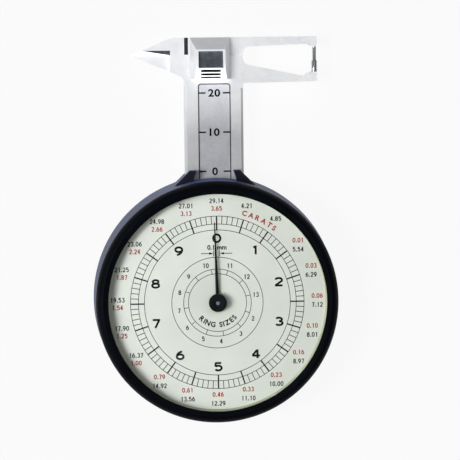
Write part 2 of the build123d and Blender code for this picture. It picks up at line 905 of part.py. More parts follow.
def make_thumb_insert():
    """Plate on the floor of the thumb block's recess."""
    half = recess_half_width - strip_fit
    floor_z = slide_top_z + block_height - recess_depth
    low_y = recess_bottom_y + strip_fit
    high_y = recess_top_y - strip_fit
    insert = box(-half, half, low_y, high_y, floor_z, floor_z + insert_thickness)
    return Pos(block_centre_x, parting_y, 0) * insert


def make_block_screws():
    """Screws from behind the slide's plate into the thumb block."""
    depth = slide_thickness + block_hole_depth - blind_gap
    return Compound([sunk_screw(x, y, block_screw, slide_z, depth) for x, y in block_screw_places])


def make_spring_pin():
    """Pin on the slide's ear that pulls the return spring."""
    head_z = spring_z + post_head_gap
    pin = disc(spring_x, spring_bottom_y, post_radius, slide_z, head_z)
    return pin + disc(spring_x, spring_bottom_y, post_head_radius, head_z, head_z + post_head_height)


def make_spring_post():
    """Fixed post of the return spring, riveted in the main plate."""
    head_z = spring_z - post_head_gap
    post = disc(spring_x, spring_top_y, post_radius, head_z, plate_top_z)
    return post + disc(spring_x, spring_top_y, post_head_radius, head_z - post_head_height, head_z)


def make_return_spring():
    """Pull spring: a coil with a straight lead and a loop at each end, with the jaws closed."""
    length = spring_top_y - spring_bottom_y - 2 * spring_lead
    turns = round(length / spring_pitch)
    pitch = length / turns
    path = Helix(pitch=pitch, height=pitch, radius=spring_radius)
    start = Plane(origin=path @ 0, z_dir=path % 0)
    turn = sweep(start * Circle(spring_wire_radius), path=path, is_frenet=True)
    spring = Part() + [Pos(0, 0, k * pitch) * turn for k in range(turns)]
    for end_z, side in ((0, -1), (length, 1)):
        spring += Pos(spring_radius, 0, end_z) * Sphere(spring_wire_radius + spring_bend)
        lead_z = end_z + side * spring_lead / 2
        spring += Pos(spring_radius, 0, lead_z) * Cylinder(spring_wire_radius, spring_lead)
        loop = Rot(90, 0, 0) * Torus(spring_radius, spring_wire_radius)
        spring += Pos(0, 0, end_z + side * spring_lead) * loop
    return Pos(spring_x, spring_bottom_y + spring_lead, spring_z) * (Rot(-90, 0, 0) * spring)


def make_main_plate():
    """Round plate that carries the movement, screwed up against the case's bosses."""
    body = disc(0, 0, cavity_radius - plate_fit, plate_z, plate_top_z)
    for x, y in ring_places(plate_boss_ring, plate_boss_angles):
        body -= tapped_through(x, y, plate_screw, plate_z, plate_top_z)
    for x, y in [(0, 0), mesh_place]:
        body -= through(x, y, bush_radius, plate_z, plate_top_z)
    for x, y in bridge_pillar_places + cock_pillar_places:
        body -= through(x, y, pillar_spigot_radius, plate_z, plate_top_z)
    return body - through(spring_x, spring_top_y, post_radius, plate_z, plate_top_z)


def make_plate_screws():
    """Screws from below through the main plate into the bosses."""
    depth = plate_thickness + boss_hole_depth - blind_gap
    places = ring_places(plate_boss_ring, plate_boss_angles)
    return Compound([cheese_screw(x, y, plate_screw, plate_z, depth) for x, y in places])


def make_top_bridge():
    """Three cornered bridge over both arbors."""
    body = hull_plate(bridge_pillar_places, pillar_radius + bridge_edge, bridge_z, bridge_top_z)
    for x, y in [(0, 0), mesh_place]:
        body -= through(x, y, bush_radius, bridge_z, bridge_top_z)
    for x, y in bridge_pillar_places:
        body -= tapped_through(x, y, bridge_screw, bridge_z, bridge_top_z)
    return body - through(*stud_place, stud_radius, bridge_z, bridge_top_z)


def make_bridge_pillars():
    """Three turned pillars, riveted in the main plate."""
    pillars = []
    for x, y in bridge_pillar_places:
        pillar = disc(x, y, pillar_radius, plate_top_z, bridge_z)
        pillar += disc(x, y, pillar_spigot_radius, plate_z, plate_top_z)
        pillars.append(pillar - tapped(x, y, bridge_screw, bridge_z - pillar_hole_depth, bridge_z + past))
    return Compound(pillars)


def make_bridge_screws():
    """Screws of the top bridge."""
    depth = bridge_thickness + pillar_hole_depth - blind_gap
    places = bridge_pillar_places
    return Compound([cheese_screw(x, y, bridge_screw, bridge_top_z, depth, up=-1) for x, y in places])


def make_lower_cock():
    """Small cock under the rack pinion."""
    body = hull_plate([mesh_place] + cock_pillar_places, pillar_radius + cock_edge, cock_z, cock_top_z)
    body -= through(*mesh_place, cock_bush_radius, cock_z, cock_top_z)
    for x, y in cock_pillar_places:
        body -= tapped_through(x, y, bridge_screw, cock_z, cock_top_z)
    return body


def make_cock_pillars():
    """Two pillars that hang the cock from the main plate."""
    pillars = []
    for x, y in cock_pillar_places:
        pillar = disc(x, y, pillar_radius, cock_top_z, plate_z)
        pillar += disc(x, y, pillar_spigot_radius, plate_z, plate_top_z)
        pillars.append(pillar - tapped(x, y, bridge_screw, cock_top_z - past, cock_top_z + pillar_hole_depth))
    return Compound(pillars)


def make_cock_screws():
    """Screws of the lower cock."""
    depth = cock_thickness + pillar_hole_depth - blind_gap
    return Compound([cheese_screw(x, y, bridge_screw, cock_z, depth) for x, y in cock_pillar_places])


def make_plate_bushes():
    """Bushes of the main plate for both arbors."""
    centre = bush(0, 0, bush_radius, arbor_neck_radius, plate_z, plate_top_z)
    side = bush(*mesh_place, bush_radius, arbor_neck_radius, plate_z, plate_top_z)
    return Compound([centre, side])


def make_bridge_bushes():
    """Bushes of the top bridge for both arbors."""
    centre = bush(0, 0, bush_radius, arbor_neck_radius, bridge_z, bridge_top_z)
    side = bush(*mesh_place, bush_radius, arbor_pivot_radius, bridge_z, bridge_top_z)
    return Compound([centre, side])


def make_cock_bush():
    """Bush of the lower cock."""
    return bush(*mesh_place, cock_bush_radius, arbor_pivot_radius, cock_z, cock_top_z)


def make_centre_arbor():
    """Arbor of the pointer, from the main plate up to the hub."""
    return stacked(
        0,
        0,
        [
            (arbor_neck_radius, plate_z, plate_top_z + end_shake),
            (arbor_radius, plate_top_z + end_shake, bridge_z - end_shake),
            (arbor_neck_radius, bridge_z - end_shake, pointer_z),
            (arbor_top_radius, pointer_z, hub_top_z + arbor_proud),
        ],
    )


def make_intermediate_arbor():
    """Arbor of the rack pinion and the drive wheel."""
    return stacked(
        *mesh_place,
        [
            (arbor_pivot_radius, cock_z, cock_top_z + end_shake),
            (arbor_radius, cock_top_z + end_shake, plate_z - end_shake),
            (arbor_neck_radius, plate_z - end_shake, plate_top_z + end_shake),
            (arbor_radius, plate_top_z + end_shake, bridge_z - end_shake),
            (arbor_pivot_radius, bridge_z - end_shake, bridge_top_z),
        ],
    )


def make_rack_pinion():
    """Pinion in the rack: a gap of it faces the rack's tooth."""
    half_tooth = 180 / rack_pinion_teeth
    wheel = gear(rack_pinion_teeth, rack_module, rack_pinion_thickness, 180 + half_tooth)
    return Pos(*mesh_place, rack_z + running_gap) * wheel


def make_drive_wheel():
    """Wheel that drives the centre pinion: a tooth of it points to the pointer's axis."""
    wheel = gear(drive_wheel_teeth, train_module, drive_wheel_thickness, line_of_centres + 180)
    return Pos(*mesh_place, wheel_z) * wheel


def make_centre_pinion():
    """Pinion of the pointer: a gap of it faces the drive wheel's tooth."""
    half_tooth = 180 / centre_pinion_teeth
    wheel = gear(centre_pinion_teeth, train_module, centre_pinion_thickness, line_of_centres + half_tooth)
    return Pos(0, 0, wheel_z - mesh_overlap) * wheel


def make_hairspring_collet():
    """Collet on the centre arbor that holds the hairspring's inner end."""
    low = hair_z - collet_edge
    high = hair_z + hair_height + collet_edge
    return disc(0, 0, collet_radius, low, high) - through(0, 0, arbor_radius, low, high)


def make_hairspring():
    """Flat spiral of half circles whose radius grows by half the pitch each half turn."""
    sides = []
    for offset in (0.0, hair_width):
        side = []
        for k in range(2 * hair_turns):
            radius = hair_inner_radius + offset + hair_pitch * (k + 0.5) / 2
            shift = hair_pitch / 4 * (1 if k % 2 == 0 else -1)
            first = 0 if k % 2 == 0 else 180
            side.append(Pos(-shift, 0) * CenterArc((0, 0), radius, first, 180))
        sides.append(side)
    inner, outer = sides
    ends = [Line(inner[0] @ 0, outer[0] @ 0), Line(inner[-1] @ 1, outer[-1] @ 1)]
    face = make_face([curve.edge() for curve in inner + outer + ends])
    return Pos(0, 0, hair_z) * extrude(face, hair_height)


def make_hairspring_stud():
    """Stud that hangs from the bridge and holds the hairspring's outer end."""
    return disc(*stud_place, stud_radius, hair_z - end_shake, bridge_top_z)


def make_dial():
    """Dial plate with the hole for the arbor."""
    return disc(0, 0, dial_radius, dial_z, dial_top_z) - through(0, 0, dial_hole_radius, dial_z, dial_top_z)


def make_spacer_ring():
    """Ring that holds the dial down and carries the crystal."""
    return turned(
        [
            (spacer_inner_radius, dial_top_z),
            (crystal_flange_radius, dial_top_z),
            (crystal_flange_radius, spacer_top_z),
            (spacer_inner_radius + spacer_flare, spacer_top_z),
        ]
    )


def dome(radius, edge_z, crown_z):
    """Arc of a ball from the rim at radius, edge_z to the crown on the axis."""
    rise = crown_z - edge_z
    ball = (radius ** 2 + rise ** 2) / (2 * rise)
    middle = radius / 2
    middle_z = crown_z - ball + sqrt(ball ** 2 - middle ** 2)
    return ThreePointArc((radius, 0, edge_z), (middle, 0, middle_z), (0, 0, crown_z)).edge()


def make_crystal():
    """Clear window: a flange under the bezel's lip and a shallow dome."""
    inner_radius = crystal_radius - crystal_wall
    edge_z = flange_top_z + crystal_shoulder
    crown_z = edge_z + crystal_rise
    rim = Polyline(
        (crystal_radius, 0, edge_z),
        (crystal_radius, 0, flange_top_z),
        (crystal_flange_radius, 0, flange_top_z),
        (crystal_flange_radius, 0, spacer_top_z),
        (inner_radius, 0, spacer_top_z),
        (inner_radius, 0, edge_z - crystal_wall),
    )
    inside = dome(inner_radius, edge_z - crystal_wall, crown_z - crystal_wall)
    axis = Line((0, 0, crown_z - crystal_wall), (0, 0, crown_z))
    outside = dome(crystal_radius, edge_z, crown_z)
    return revolve(make_face([*rim.edges(), inside, axis.edge(), outside]), Axis.Z, 360)


def make_bezel():
    """Ring over the crystal: a steep inner slope, a crest and a long rounded outer slope."""
    crest = (bezel_crest_radius, 0, case_front_z + bezel_rise)
    foot = (case_front_radius, 0, case_front_z)
    bulge = (case_front_radius - bezel_bulge_in, 0, case_front_z + bezel_bulge_up)
    lip_z = flange_top_z + press_gap
    skirt_z = dial_z + press_gap
    rest = Polyline(
        crest,
        (bezel_inner_radius, 0, case_front_z + bezel_inner_rise),
        (bezel_inner_radius, 0, lip_z),
        (bezel_bore_radius, 0, lip_z),
        (bezel_bore_radius, 0, skirt_z),
        (bezel_skirt_radius, 0, skirt_z),
        (bezel_skirt_radius, 0, case_front_z),
        foot,
    )
    slope = ThreePointArc(foot, bulge, crest)
    return revolve(make_face([slope.edge(), *rest.edges()]), Axis.Z, 360)


def make_pointer():
    """Tapered needle on a small ring; it rests a little short of the zero."""
    half_root = pointer_root_width / 2
    half_tip = pointer_tip_width / 2
    blade = Polyline(
        (-half_root, 0),
        (half_root, 0),
        (half_tip, pointer_length),
        (-half_tip, pointer_length),
        close=True,
    )
    needle = extrude(make_face(blade), pointer_thickness)
    needle += disc(0, 0, pointer_ring_radius, 0, pointer_thickness)
    needle -= through(0, 0, arbor_top_radius, 0, pointer_thickness)
    return Pos(0, 0, pointer_z) * (Rot(0, 0, pointer_lean) * needle)


def make_pointer_hub():
    """Round hub on top of the needle, with a bevelled edge."""
    hub = disc(0, 0, hub_radius, hub_z, hub_top_z)
    hub = chamfer(hub.edges().group_by(Axis.Z)[-1], hub_edge)
    return hub - through(0, 0, arbor_top_radius, hub_z, hub_top_z)


nodes = {
    "rear_cover": make_rear_cover,
    "case_shell": make_case_shell,
    "cover_screws": make_cover_screws,
    "beam": make_beam,
    "contact_pin": make_contact_pin,
    "beam_screws": make_beam_screws,
    "travel_stop": make_travel_stop,
    "stop_screw": make_stop_screw,
    "slide": make_slide,
    "scale_strip": make_scale_strip,
    "gib_left": lambda: make_gib(-1),
    "gib_right": lambda: make_gib(1),
    "gib_screws": make_gib_screws,
    "rack": make_rack,
    "rack_screws": make_rack_screws,
    "thumb_block": make_thumb_block,
    "thumb_insert": make_thumb_insert,
    "block_screws": make_block_screws,
    "spring_pin": make_spring_pin,
    "spring_post": make_spring_post,
    "return_spring": make_return_spring,
    "main_plate": make_main_plate,
    "plate_screws": make_plate_screws,
    "top_bridge": make_top_bridge,
    "bridge_pillars": make_bridge_pillars,
    "bridge_screws": make_bridge_screws,
    "lower_cock": make_lower_cock,
    "cock_pillars": make_cock_pillars,
    "cock_screws": make_cock_screws,
    "plate_bushes": make_plate_bushes,
    "bridge_bushes": make_bridge_bushes,
    "cock_bush": make_cock_bush,
    "centre_arbor": make_centre_arbor,
    "intermediate_arbor": make_intermediate_arbor,
    "rack_pinion": make_rack_pinion,
    "drive_wheel": make_drive_wheel,
    "centre_pinion": make_centre_pinion,
    "hairspring_collet": make_hairspring_collet,
    "hairspring": make_hairspring,
    "hairspring_stud": make_hairspring_stud,
    "dial_plate": make_dial,
    "spacer_ring": make_spacer_ring,
    "crystal": make_crystal,
    "bezel": make_bezel,
    "pointer": make_pointer,
    "pointer_hub": make_pointer_hub,
}

os.makedirs("parts", exist_ok=True)
for name, make in nodes.items():
    export_step(make(), "parts/" + name + ".step")
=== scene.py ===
import json
from math import cos, pi, radians, sin

import bmesh
import bpy
import numpy as np
from mathutils import Matrix, Vector

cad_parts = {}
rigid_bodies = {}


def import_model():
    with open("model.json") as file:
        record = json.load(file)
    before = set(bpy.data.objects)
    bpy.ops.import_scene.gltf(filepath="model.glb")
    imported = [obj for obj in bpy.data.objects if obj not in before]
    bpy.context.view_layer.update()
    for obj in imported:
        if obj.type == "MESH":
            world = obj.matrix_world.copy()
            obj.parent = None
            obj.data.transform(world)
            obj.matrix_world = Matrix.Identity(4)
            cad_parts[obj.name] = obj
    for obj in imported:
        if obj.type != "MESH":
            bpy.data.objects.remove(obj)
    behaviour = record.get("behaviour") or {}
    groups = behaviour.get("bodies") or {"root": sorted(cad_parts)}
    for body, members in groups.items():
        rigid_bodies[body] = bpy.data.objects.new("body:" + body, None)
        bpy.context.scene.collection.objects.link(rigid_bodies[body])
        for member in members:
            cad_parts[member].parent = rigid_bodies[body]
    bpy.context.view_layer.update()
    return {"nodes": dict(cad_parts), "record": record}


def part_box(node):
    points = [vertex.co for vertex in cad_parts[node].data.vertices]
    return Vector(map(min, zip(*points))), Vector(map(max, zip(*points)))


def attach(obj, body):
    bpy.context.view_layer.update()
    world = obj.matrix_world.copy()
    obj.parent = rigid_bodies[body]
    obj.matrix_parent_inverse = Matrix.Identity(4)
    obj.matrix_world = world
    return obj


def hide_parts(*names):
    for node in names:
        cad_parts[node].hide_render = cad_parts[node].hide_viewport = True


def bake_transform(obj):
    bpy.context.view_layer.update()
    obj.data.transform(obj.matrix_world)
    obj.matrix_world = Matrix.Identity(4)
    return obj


# A pocket dial gauge that lies on its back and is seen from above. Sizes below are in
# millimetres in the frame of the CAD model; the finished meshes are in metres.
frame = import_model()

MM = 0.001

# Corners of a mesh that lie nearer each other than this, in metres, are merged: on pieces
# made here, and on CAD pieces, which come as loose triangles
made_reach = 1e-7
cad_reach = 2e-6

# Edges whose faces turn by more than this, in degrees, stay sharp on pieces made here
crease_angle = 32

# Where the camera stands, what it looks at, its roll in degrees, and its lens
camera_place = (-26.7, 64.2, 515.0)
camera_aim = (3.658, 17.85, 8.0)
camera_roll = -0.635
frame_pixels = 460
focal_pixels = 1998.8
sensor_width = 36.0

# The dial plate and its hole for the arbor
dial_low, dial_high = (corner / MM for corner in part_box("dial_plate"))
dial_face_z = dial_high.z
dial_radius = dial_high.x
dial_hole_radius = 1.0

# A layer of ink: how far it stands above its face and reaches into it, and how much higher
# each stroke of a digit lies than the one before
ink_height = 0.015
ink_sink = 0.01
stroke_rise = 0.002
ink_low = dial_face_z - ink_sink
ink_high = dial_face_z + ink_height

# The dial's print: where its middle lies from the arbor, and the pointer's turn for a millimetre
print_shift = (0.0, -0.16)
degrees_per_mm = 36

# Radii of the printed circles, from the outside in
minor_outer_radius = 22.0
minor_inner_radius = 20.0
major_inner_radius = 18.5
ring_scale_radius = 11.6
ring_band_outer = 8.6
ring_band_inner = 7.4

# Widths of the circles' line, of the light ticks and of the heavy ticks
circle_line = 0.155
minor_line = 0.18
major_line = 0.34

# The ten large digits: radius at which they stand, height, and width of a stroke
digit_radius = 16.4
digit_height = 2.25
digit_stroke = 0.53

# Small numbers: height, how narrow they are beside the large digits, and width of a stroke
small_height = 1.2
small_width = 0.56
small_stroke = 0.225

# Legends: height of those along an arc, and how far the outline of a letter is pushed out
legend_height = 1.35
legend_weight = 0.034

# Bore of the needle's ring and of the hub, which sit on the arbor, and depth of the hub's dish
pointer_bore = 0.38
dish_depth = 0.12


def linear(code):
    """Turns an sRGB hex colour such as "8A9BAC" into linear red, green, blue and alpha."""
    parts = np.array([int(code[k : k + 2], 16) for k in (0, 2, 4)]) / 255
    low = parts / 12.92
    high = ((parts + 0.055) / 1.055) ** 2.4
    return (*np.where(parts <= 0.04045, low, high).tolist(), 1.0)


def per_metre(size):
    """Texture scale at which one grain of a pattern is this many millimetres across."""
    return 1 / (size * MM)


def add(material, kind, inputs=None, **settings):
    """Adds a node, sets its properties, and fills its sockets with values or with other nodes' outputs."""
    made = material.node_tree.nodes.new("ShaderNode" + kind)
    for name, value in settings.items():
        setattr(made, name, value)
    for socket, value in (inputs or {}).items():
        if isinstance(value, bpy.types.NodeSocket):
            material.node_tree.links.new(value, made.inputs[socket])
        else:
            made.inputs[socket].default_value = value
    return made


def blank(name):
    """A material with an empty node tree."""
    material = bpy.data.materials.new(name)
    material.use_nodes = True
    material.node_tree.nodes.clear()
    return material


def close(material, shader):
    """Links a shader to the material's output."""
    add(material, "OutputMaterial", {"Surface": shader})
    return material


def finish(name, low, high, metallic, roughness, grain, relief, stretch=(1, 1, 1), cloud=6.0, also=None):
    """A surface whose colour drifts between two near tones in soft clouds.

    Its roughness swings between two values and its height by a small relief, both by a
    fine grain, which stretch can draw out into brush or turning lines. Grain, relief and
    cloud are in millimetres. Other sockets of its shader take the values in also.
    """
    material = blank(name)
    place = add(material, "TexCoord").outputs["Object"]
    drawn = add(material, "Mapping", {"Vector": place, "Scale": stretch})
    fine = add(
        material,
        "TexNoise",
        {"Vector": drawn.outputs["Vector"], "Scale": per_metre(grain), "Detail": 3.0, "Roughness": 0.6},
    )
    wide = add(
        material,
        "TexNoise",
        {"Vector": place, "Scale": per_metre(cloud), "Detail": 4.0, "Roughness": 0.55},
    )
    limits = {"From Min": 0.3, "From Max": 0.7, "To Min": roughness[0], "To Max": roughness[1]}
    swing = add(material, "MapRange", {"Value": fine.outputs["Fac"]} | limits)
    share = add(material, "MapRange", {"Value": wide.outputs["Fac"], "From Min": 0.35, "From Max": 0.65})
    tone = add(
        material,
        "Mix",
        {0: share.outputs["Result"], 6: linear(low), 7: linear(high)},
        data_type="RGBA",
    )
    bump = add(
        material,
        "Bump",
        {"Height": fine.outputs["Fac"], "Distance": relief * MM, "Strength": 1.0},
    )
    inputs = {
        "Base Color": tone.outputs[2],
        "Metallic": metallic,
        "Roughness": swing.outputs["Result"],
        "Normal": bump.outputs["Normal"],
    }
    surface = add(material, "BsdfPrincipled", inputs | (also or {}))
    return close(material, surface.outputs["BSDF"])


def clear_acrylic():
    """Polished moulded acrylic: a clear gloss over the dial.

    Its IOR stays below acrylic's 1.49, so that the dome bends the view and mirrors the lamps
    less. Shadow rays pass it, so that the lamps reach the dial.
    """
    material = blank("polished_acrylic")
    glass = add(
        material,
        "BsdfPrincipled",
        {"Base Color": linear("FFFFFF"), "Roughness": 0.0, "IOR": 1.15, "Transmission Weight": 1.0},
    )
    open_to_light = add(material, "BsdfTransparent", {"Color": linear("FFFFFF")})
    path = add(material, "LightPath")
    mixed = add(
        material,
        "MixShader",
        {0: path.outputs["Is Shadow Ray"], 1: glass.outputs["BSDF"], 2: open_to_light.outputs["BSDF"]},
    )
    return close(material, mixed.outputs["Shader"])


# How much of the floor the camera sees as even white
floor_white = 0.92


def white_sweep():
    """Matt white card under the gauge.

    Camera, mirror and lens rays see it mostly as even white, which softens the shadows on it.
    """
    material = blank("matt_white_card")
    path = add(material, "LightPath")
    seen = path.outputs["Is Camera Ray"]
    for kind in ("Is Glossy Ray", "Is Transmission Ray"):
        seen = add(material, "Math", {0: seen, 1: path.outputs[kind]}, operation="MAXIMUM").outputs["Value"]
    share = add(material, "Math", {0: seen, 1: floor_white}, operation="MULTIPLY")
    card = add(material, "BsdfDiffuse", {"Color": linear("FAFAFA")})
    white = add(material, "Emission", {"Color": linear("FFFFFF"), "Strength": 1.0})
    mixed = add(
        material,
        "MixShader",
        {0: share.outputs["Value"], 1: card.outputs["BSDF"], 2: white.outputs["Emission"]},
    )
    return close(material, mixed.outputs["Shader"])


# Gloss of printing ink and of lacquer, which is less than a moulded plastic's
low_gloss = {"Specular IOR Level": 0.12}

# Each material, by the record's slot: what the real one is and what that gives the eye. A pixel
# of the photograph is 0.25 mm, so the grain of the plastics, the enamel and the two satin metals,
# really about 0.1 mm, is drawn three to eight times as coarse, or it wouldn't show
materials = {
    # Moulded ABS, blue-black, with a fine satin texture: soft reflections and a bluish bloom at a low angle
    "case_plastic": finish(
        "moulded_abs_case", "0A1020", "10182C", 0.0, (0.40, 0.52), 0.6, 0.004,
        also={
            "IOR": 1.50,
            "Specular IOR Level": 0.30,
            "Sheen Weight": 0.75,
            "Sheen Roughness": 0.25,
            "Sheen Tint": linear("7F95E0"),
        },
    ),
    # The same ABS with a duller texture: nearly black, with hardly any gloss
    "bezel_plastic": finish(
        "moulded_abs_bezel", "05080F", "080D17", 0.0, (0.46, 0.60), 0.8, 0.003,
        also={"IOR": 1.50, "Specular IOR Level": 0.07},
    ),
    # Steel, blasted and satin chromed: pale and soft, with a fine sparkle, drawn out a little
    "satin_steel": finish(
        "satin_chromed_steel", "F4F5F8", "FAFBFC", 1.0, (0.56, 0.84), 0.42, 0.030, stretch=(1, 0.7, 1)
    ),
    # Hardened steel, turned and polished: small sharp highlights
    "bright_steel": finish("polished_steel", "C9CBCF", "D6D8DB", 1.0, (0.08, 0.18), 0.12, 0.002),
    # Screws heated to the blue: dark blue oxide over a polished head
    "blued_steel": finish("heat_blued_steel", "1B2744", "2A3A63", 1.0, (0.12, 0.24), 0.15, 0.002),
    # Drawn spring wire, oiled: grey, with a soft shine
    "spring_steel": finish("drawn_spring_steel", "8B8E94", "A3A6AB", 1.0, (0.18, 0.34), 0.12, 0.003),
    # Rolled and grained brass: warm, with straight graining
    "brass": finish("grained_brass", "C29B52", "D3AE66", 1.0, (0.22, 0.38), 0.14, 0.004, stretch=(0.1, 1, 1)),
    # Reamed phosphor bronze: redder and duller than brass
    "bush_bronze": finish("phosphor_bronze", "A2703E", "B58250", 1.0, (0.24, 0.36), 0.12, 0.003),
    # Silver anodised aluminium: even, matt and a little darker than chrome
    "strip_metal": finish(
        "silver_anodised_aluminium", "E6E8ED", "F0F1F5", 1.0, (0.56, 0.84), 0.45, 0.032, stretch=(1, 0.7, 1)
    ),
    # Slate-grey moulded nylon with a spark-eroded grain: no sharp reflection
    "insert_grey": finish(
        "grained_nylon_insert", "4A5059", "646A73", 0.0, (0.42, 0.60), 0.30, 0.020, cloud=1.2
    ),
    # Stove enamel on the dial plate: flat, pale grey-green, faintly mottled
    "dial_enamel": finish("matt_dial_enamel", "D6DCD2", "DCE1D8", 0.0, (0.46, 0.58), 0.30, 0.001, cloud=9.0),
    # Olive moulded nylon of the ring under the crystal: matt
    "spacer_olive": finish("moulded_olive_nylon", "9EA286", "ABAF92", 0.0, (0.40, 0.55), 0.30, 0.004),
    # Black lacquer on the pointer: deep, with a soft shine
    "pointer_black": finish(
        "black_lacquer", "050506", "09090B", 0.0, (0.38, 0.52), 0.25, 0.002, also=low_gloss
    ),
    # Clear acrylic, moulded and polished: see clear_acrylic
    "crystal_acrylic": clear_acrylic(),
}

# Steel of the knife's ground bevel, darkened as a painted dark reflection
bevel_painted_dark_reflection = finish("steel_with_painted_dark_reflection", "3E444D", "4E545D", 1.0, (0.45, 0.60), 0.30, 0.006)
# Steel of the slot's floor beside the jaws, brown-grey as painted shade
slot_floor_painted_shade_steel = finish("steel_with_painted_slot_shade", "5C5852", "6A665F", 1.0, (0.50, 0.65), 0.30, 0.006)
# End of the arbor, burnished after it was turned
arbor_steel = finish("burnished_arbor_end", "5D6F8F", "6A7D9E", 0.4, (0.45, 0.55), 0.10, 0.001)


def ink(name, low, high):
    """Screen-printing ink: a thin dry film with little gloss, faintly uneven."""
    return finish(name, low, high, 0.0, (0.42, 0.60), 0.12, 0.001, cloud=0.6, also=low_gloss)


# Black for the bold print, a thinner black for the fine lines, and brick red
black_ink = ink("black_printing_ink", "050607", "0B0C0E")
grey_ink = ink("thin_black_printing_ink", "08090B", "0E1012")
red_ink = ink("red_printing_ink", "93231A", "A02E24")


def joined(shapes):
    """Puts several shapes, each its points and its faces, into one list of points and one of faces."""
    points = np.concatenate([np.asarray(p, float) for p, _ in shapes])
    faces = []
    start = 0
    for part, loops in shapes:
        faces.extend([[start + corner for corner in loop] for loop in loops])
        start += len(part)
    return points, faces


def piece(name, shapes, body, slot, replaced=(), material=None, ride=True):
    """Makes one object of shapes in millimetres, smooth except at creases, that moves with a body.

    It has the material of its slot, unless it is given one of its own.
    """
    points, faces = joined(shapes)
    mesh = bpy.data.meshes.new(name)
    mesh.from_pydata((points * MM).tolist(), [], faces)
    solid = bmesh.new()
    solid.from_mesh(mesh)
    bmesh.ops.remove_doubles(solid, verts=solid.verts, dist=made_reach)
    solid.to_mesh(mesh)
    solid.free()
    mesh.polygons.foreach_set("use_smooth", [True] * len(mesh.polygons))
    mesh.set_sharp_from_angle(angle=radians(crease_angle))
    mesh.materials.append(material or materials[slot])
    made = bpy.data.objects.new(name, mesh)
    bpy.context.scene.collection.objects.link(made)
    if ride:
        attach(made, body)
    if replaced:
        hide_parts(*replaced)
    return made


def grid_faces(rows, columns, close_rows=False, close_columns=False):
    """Quads of a grid of points, laid out row by row; either way round can be closed."""
    row = np.arange(rows if close_rows else rows - 1)[:, None]
    column = np.arange(columns if close_columns else columns - 1)[None, :]
    next_row = (row + 1) % rows
    next_column = (column + 1) % columns
    quads = [
        row * columns + column,
        next_row * columns + column,
        next_row * columns + next_column,
        row * columns + next_column,
    ]
    return np.stack(quads, axis=-1).reshape(-1, 4).tolist()


def lathe(profile, steps=256):
    """Carries a closed profile of (radius, height) once round the Z axis: x = r cos a, y = r sin a, z = h."""
    profile = np.asarray(profile, float)
    radius, height = profile[:, 0], profile[:, 1]
    area = np.sum(radius * np.roll(height, -1) - np.roll(radius, -1) * height)
    if area < 0:
        radius, height = radius[::-1], height[::-1]
    angle = np.linspace(0, 2 * pi, steps, endpoint=False)[:, None]
    points = np.stack([radius * np.cos(angle), radius * np.sin(angle), height + 0 * angle], axis=-1)
    return points.reshape(-1, 3), grid_faces(steps, len(radius), close_rows=True, close_columns=True)


def arc(first, middle, last, count):
    """Points from the first to the last of three on the circle through them, spaced by equal angles."""
    first, middle, last = (np.asarray(p, float) for p in (first, middle, last))
    sides = 2 * np.array([middle - first, last - first])
    squares = np.array([middle @ middle - first @ first, last @ last - first @ first])
    centre = np.linalg.solve(sides, squares)
    start, mid, end = (np.arctan2(*(p - centre)[::-1]) for p in (first, middle, last))
    turn = (end - start) % (2 * pi)
    if (mid - start) % (2 * pi) > turn:
        turn -= 2 * pi
    angles = start + turn * np.linspace(0, 1, count)
    radius = np.linalg.norm(first - centre)
    return (centre + radius * np.stack([np.cos(angles), np.sin(angles)], axis=-1)).tolist()


def rounded(profile, radii, count=5):
    """A closed profile whose corners numbered in radii become arcs that touch both their sides.

    The middle of an arc lies on its corner's bisector, at the radius over the sine of half the corner.
    """
    profile = [np.asarray(p, float) for p in profile]
    result = []
    for k, corner in enumerate(profile):
        if k not in radii:
            result.append(corner.tolist())
            continue
        back = profile[k - 1] - corner
        on = profile[(k + 1) % len(profile)] - corner
        back /= np.linalg.norm(back)
        on /= np.linalg.norm(on)
        half = np.arccos(np.clip(back @ on, -1, 1)) / 2
        reach = radii[k] / np.tan(half)
        centre = corner + (back + on) / np.linalg.norm(back + on) * radii[k] / np.sin(half)
        start = corner + back * reach
        end = corner + on * reach
        middle = centre + (corner - centre) / np.linalg.norm(corner - centre) * radii[k]
        result.extend(arc(start, middle, end, count))
    return result


def bars(starts, ends, width, low_z, high_z):
    """Flat bars from start to end points: each is a box, half its width to either side of its line."""
    starts, ends = np.asarray(starts, float), np.asarray(ends, float)
    along = ends - starts
    along /= np.linalg.norm(along, axis=1, keepdims=True)
    aside = np.stack([-along[:, 1], along[:, 0]], axis=-1) * width / 2
    outline = np.stack([starts + aside, starts - aside, ends - aside, ends + aside], axis=1)
    low = np.concatenate([outline, np.full(outline.shape[:2] + (1,), low_z)], axis=-1)
    high = np.concatenate([outline, np.full(outline.shape[:2] + (1,), high_z)], axis=-1)
    points = np.concatenate([low, high], axis=1).reshape(-1, 3)
    box = [[3, 2, 1, 0], [4, 5, 6, 7], [0, 1, 5, 4], [1, 2, 6, 5], [2, 3, 7, 6], [3, 0, 4, 7]]
    faces = (np.array(box)[None] + 8 * np.arange(len(starts))[:, None, None]).reshape(-1, 4)
    return points, faces.tolist()


def slab(lower, upper):
    """A closed slab between two outlines of as many points: a face on each, and quads round the edge."""
    n = len(lower)
    ring = np.arange(n)
    sides = np.stack([ring, (ring + 1) % n, n + (ring + 1) % n, n + ring], axis=-1).tolist()
    return np.concatenate([lower, upper]), [list(range(n))[::-1], list(range(n, 2 * n)), *sides]


def at(radius, angle):
    """Point of the dial's print at a radius and an angle in degrees, clockwise from the top."""
    turn = np.radians(angle)
    return np.stack([print_shift[0] + radius * np.sin(turn), print_shift[1] + radius * np.cos(turn)], axis=-1)


def ticks(angles, inner, outer, width):
    """Radial strokes of the dial's print."""
    angles = np.asarray(angles, float)
    return bars(at(inner, angles), at(outer, angles), width, ink_low, ink_high)


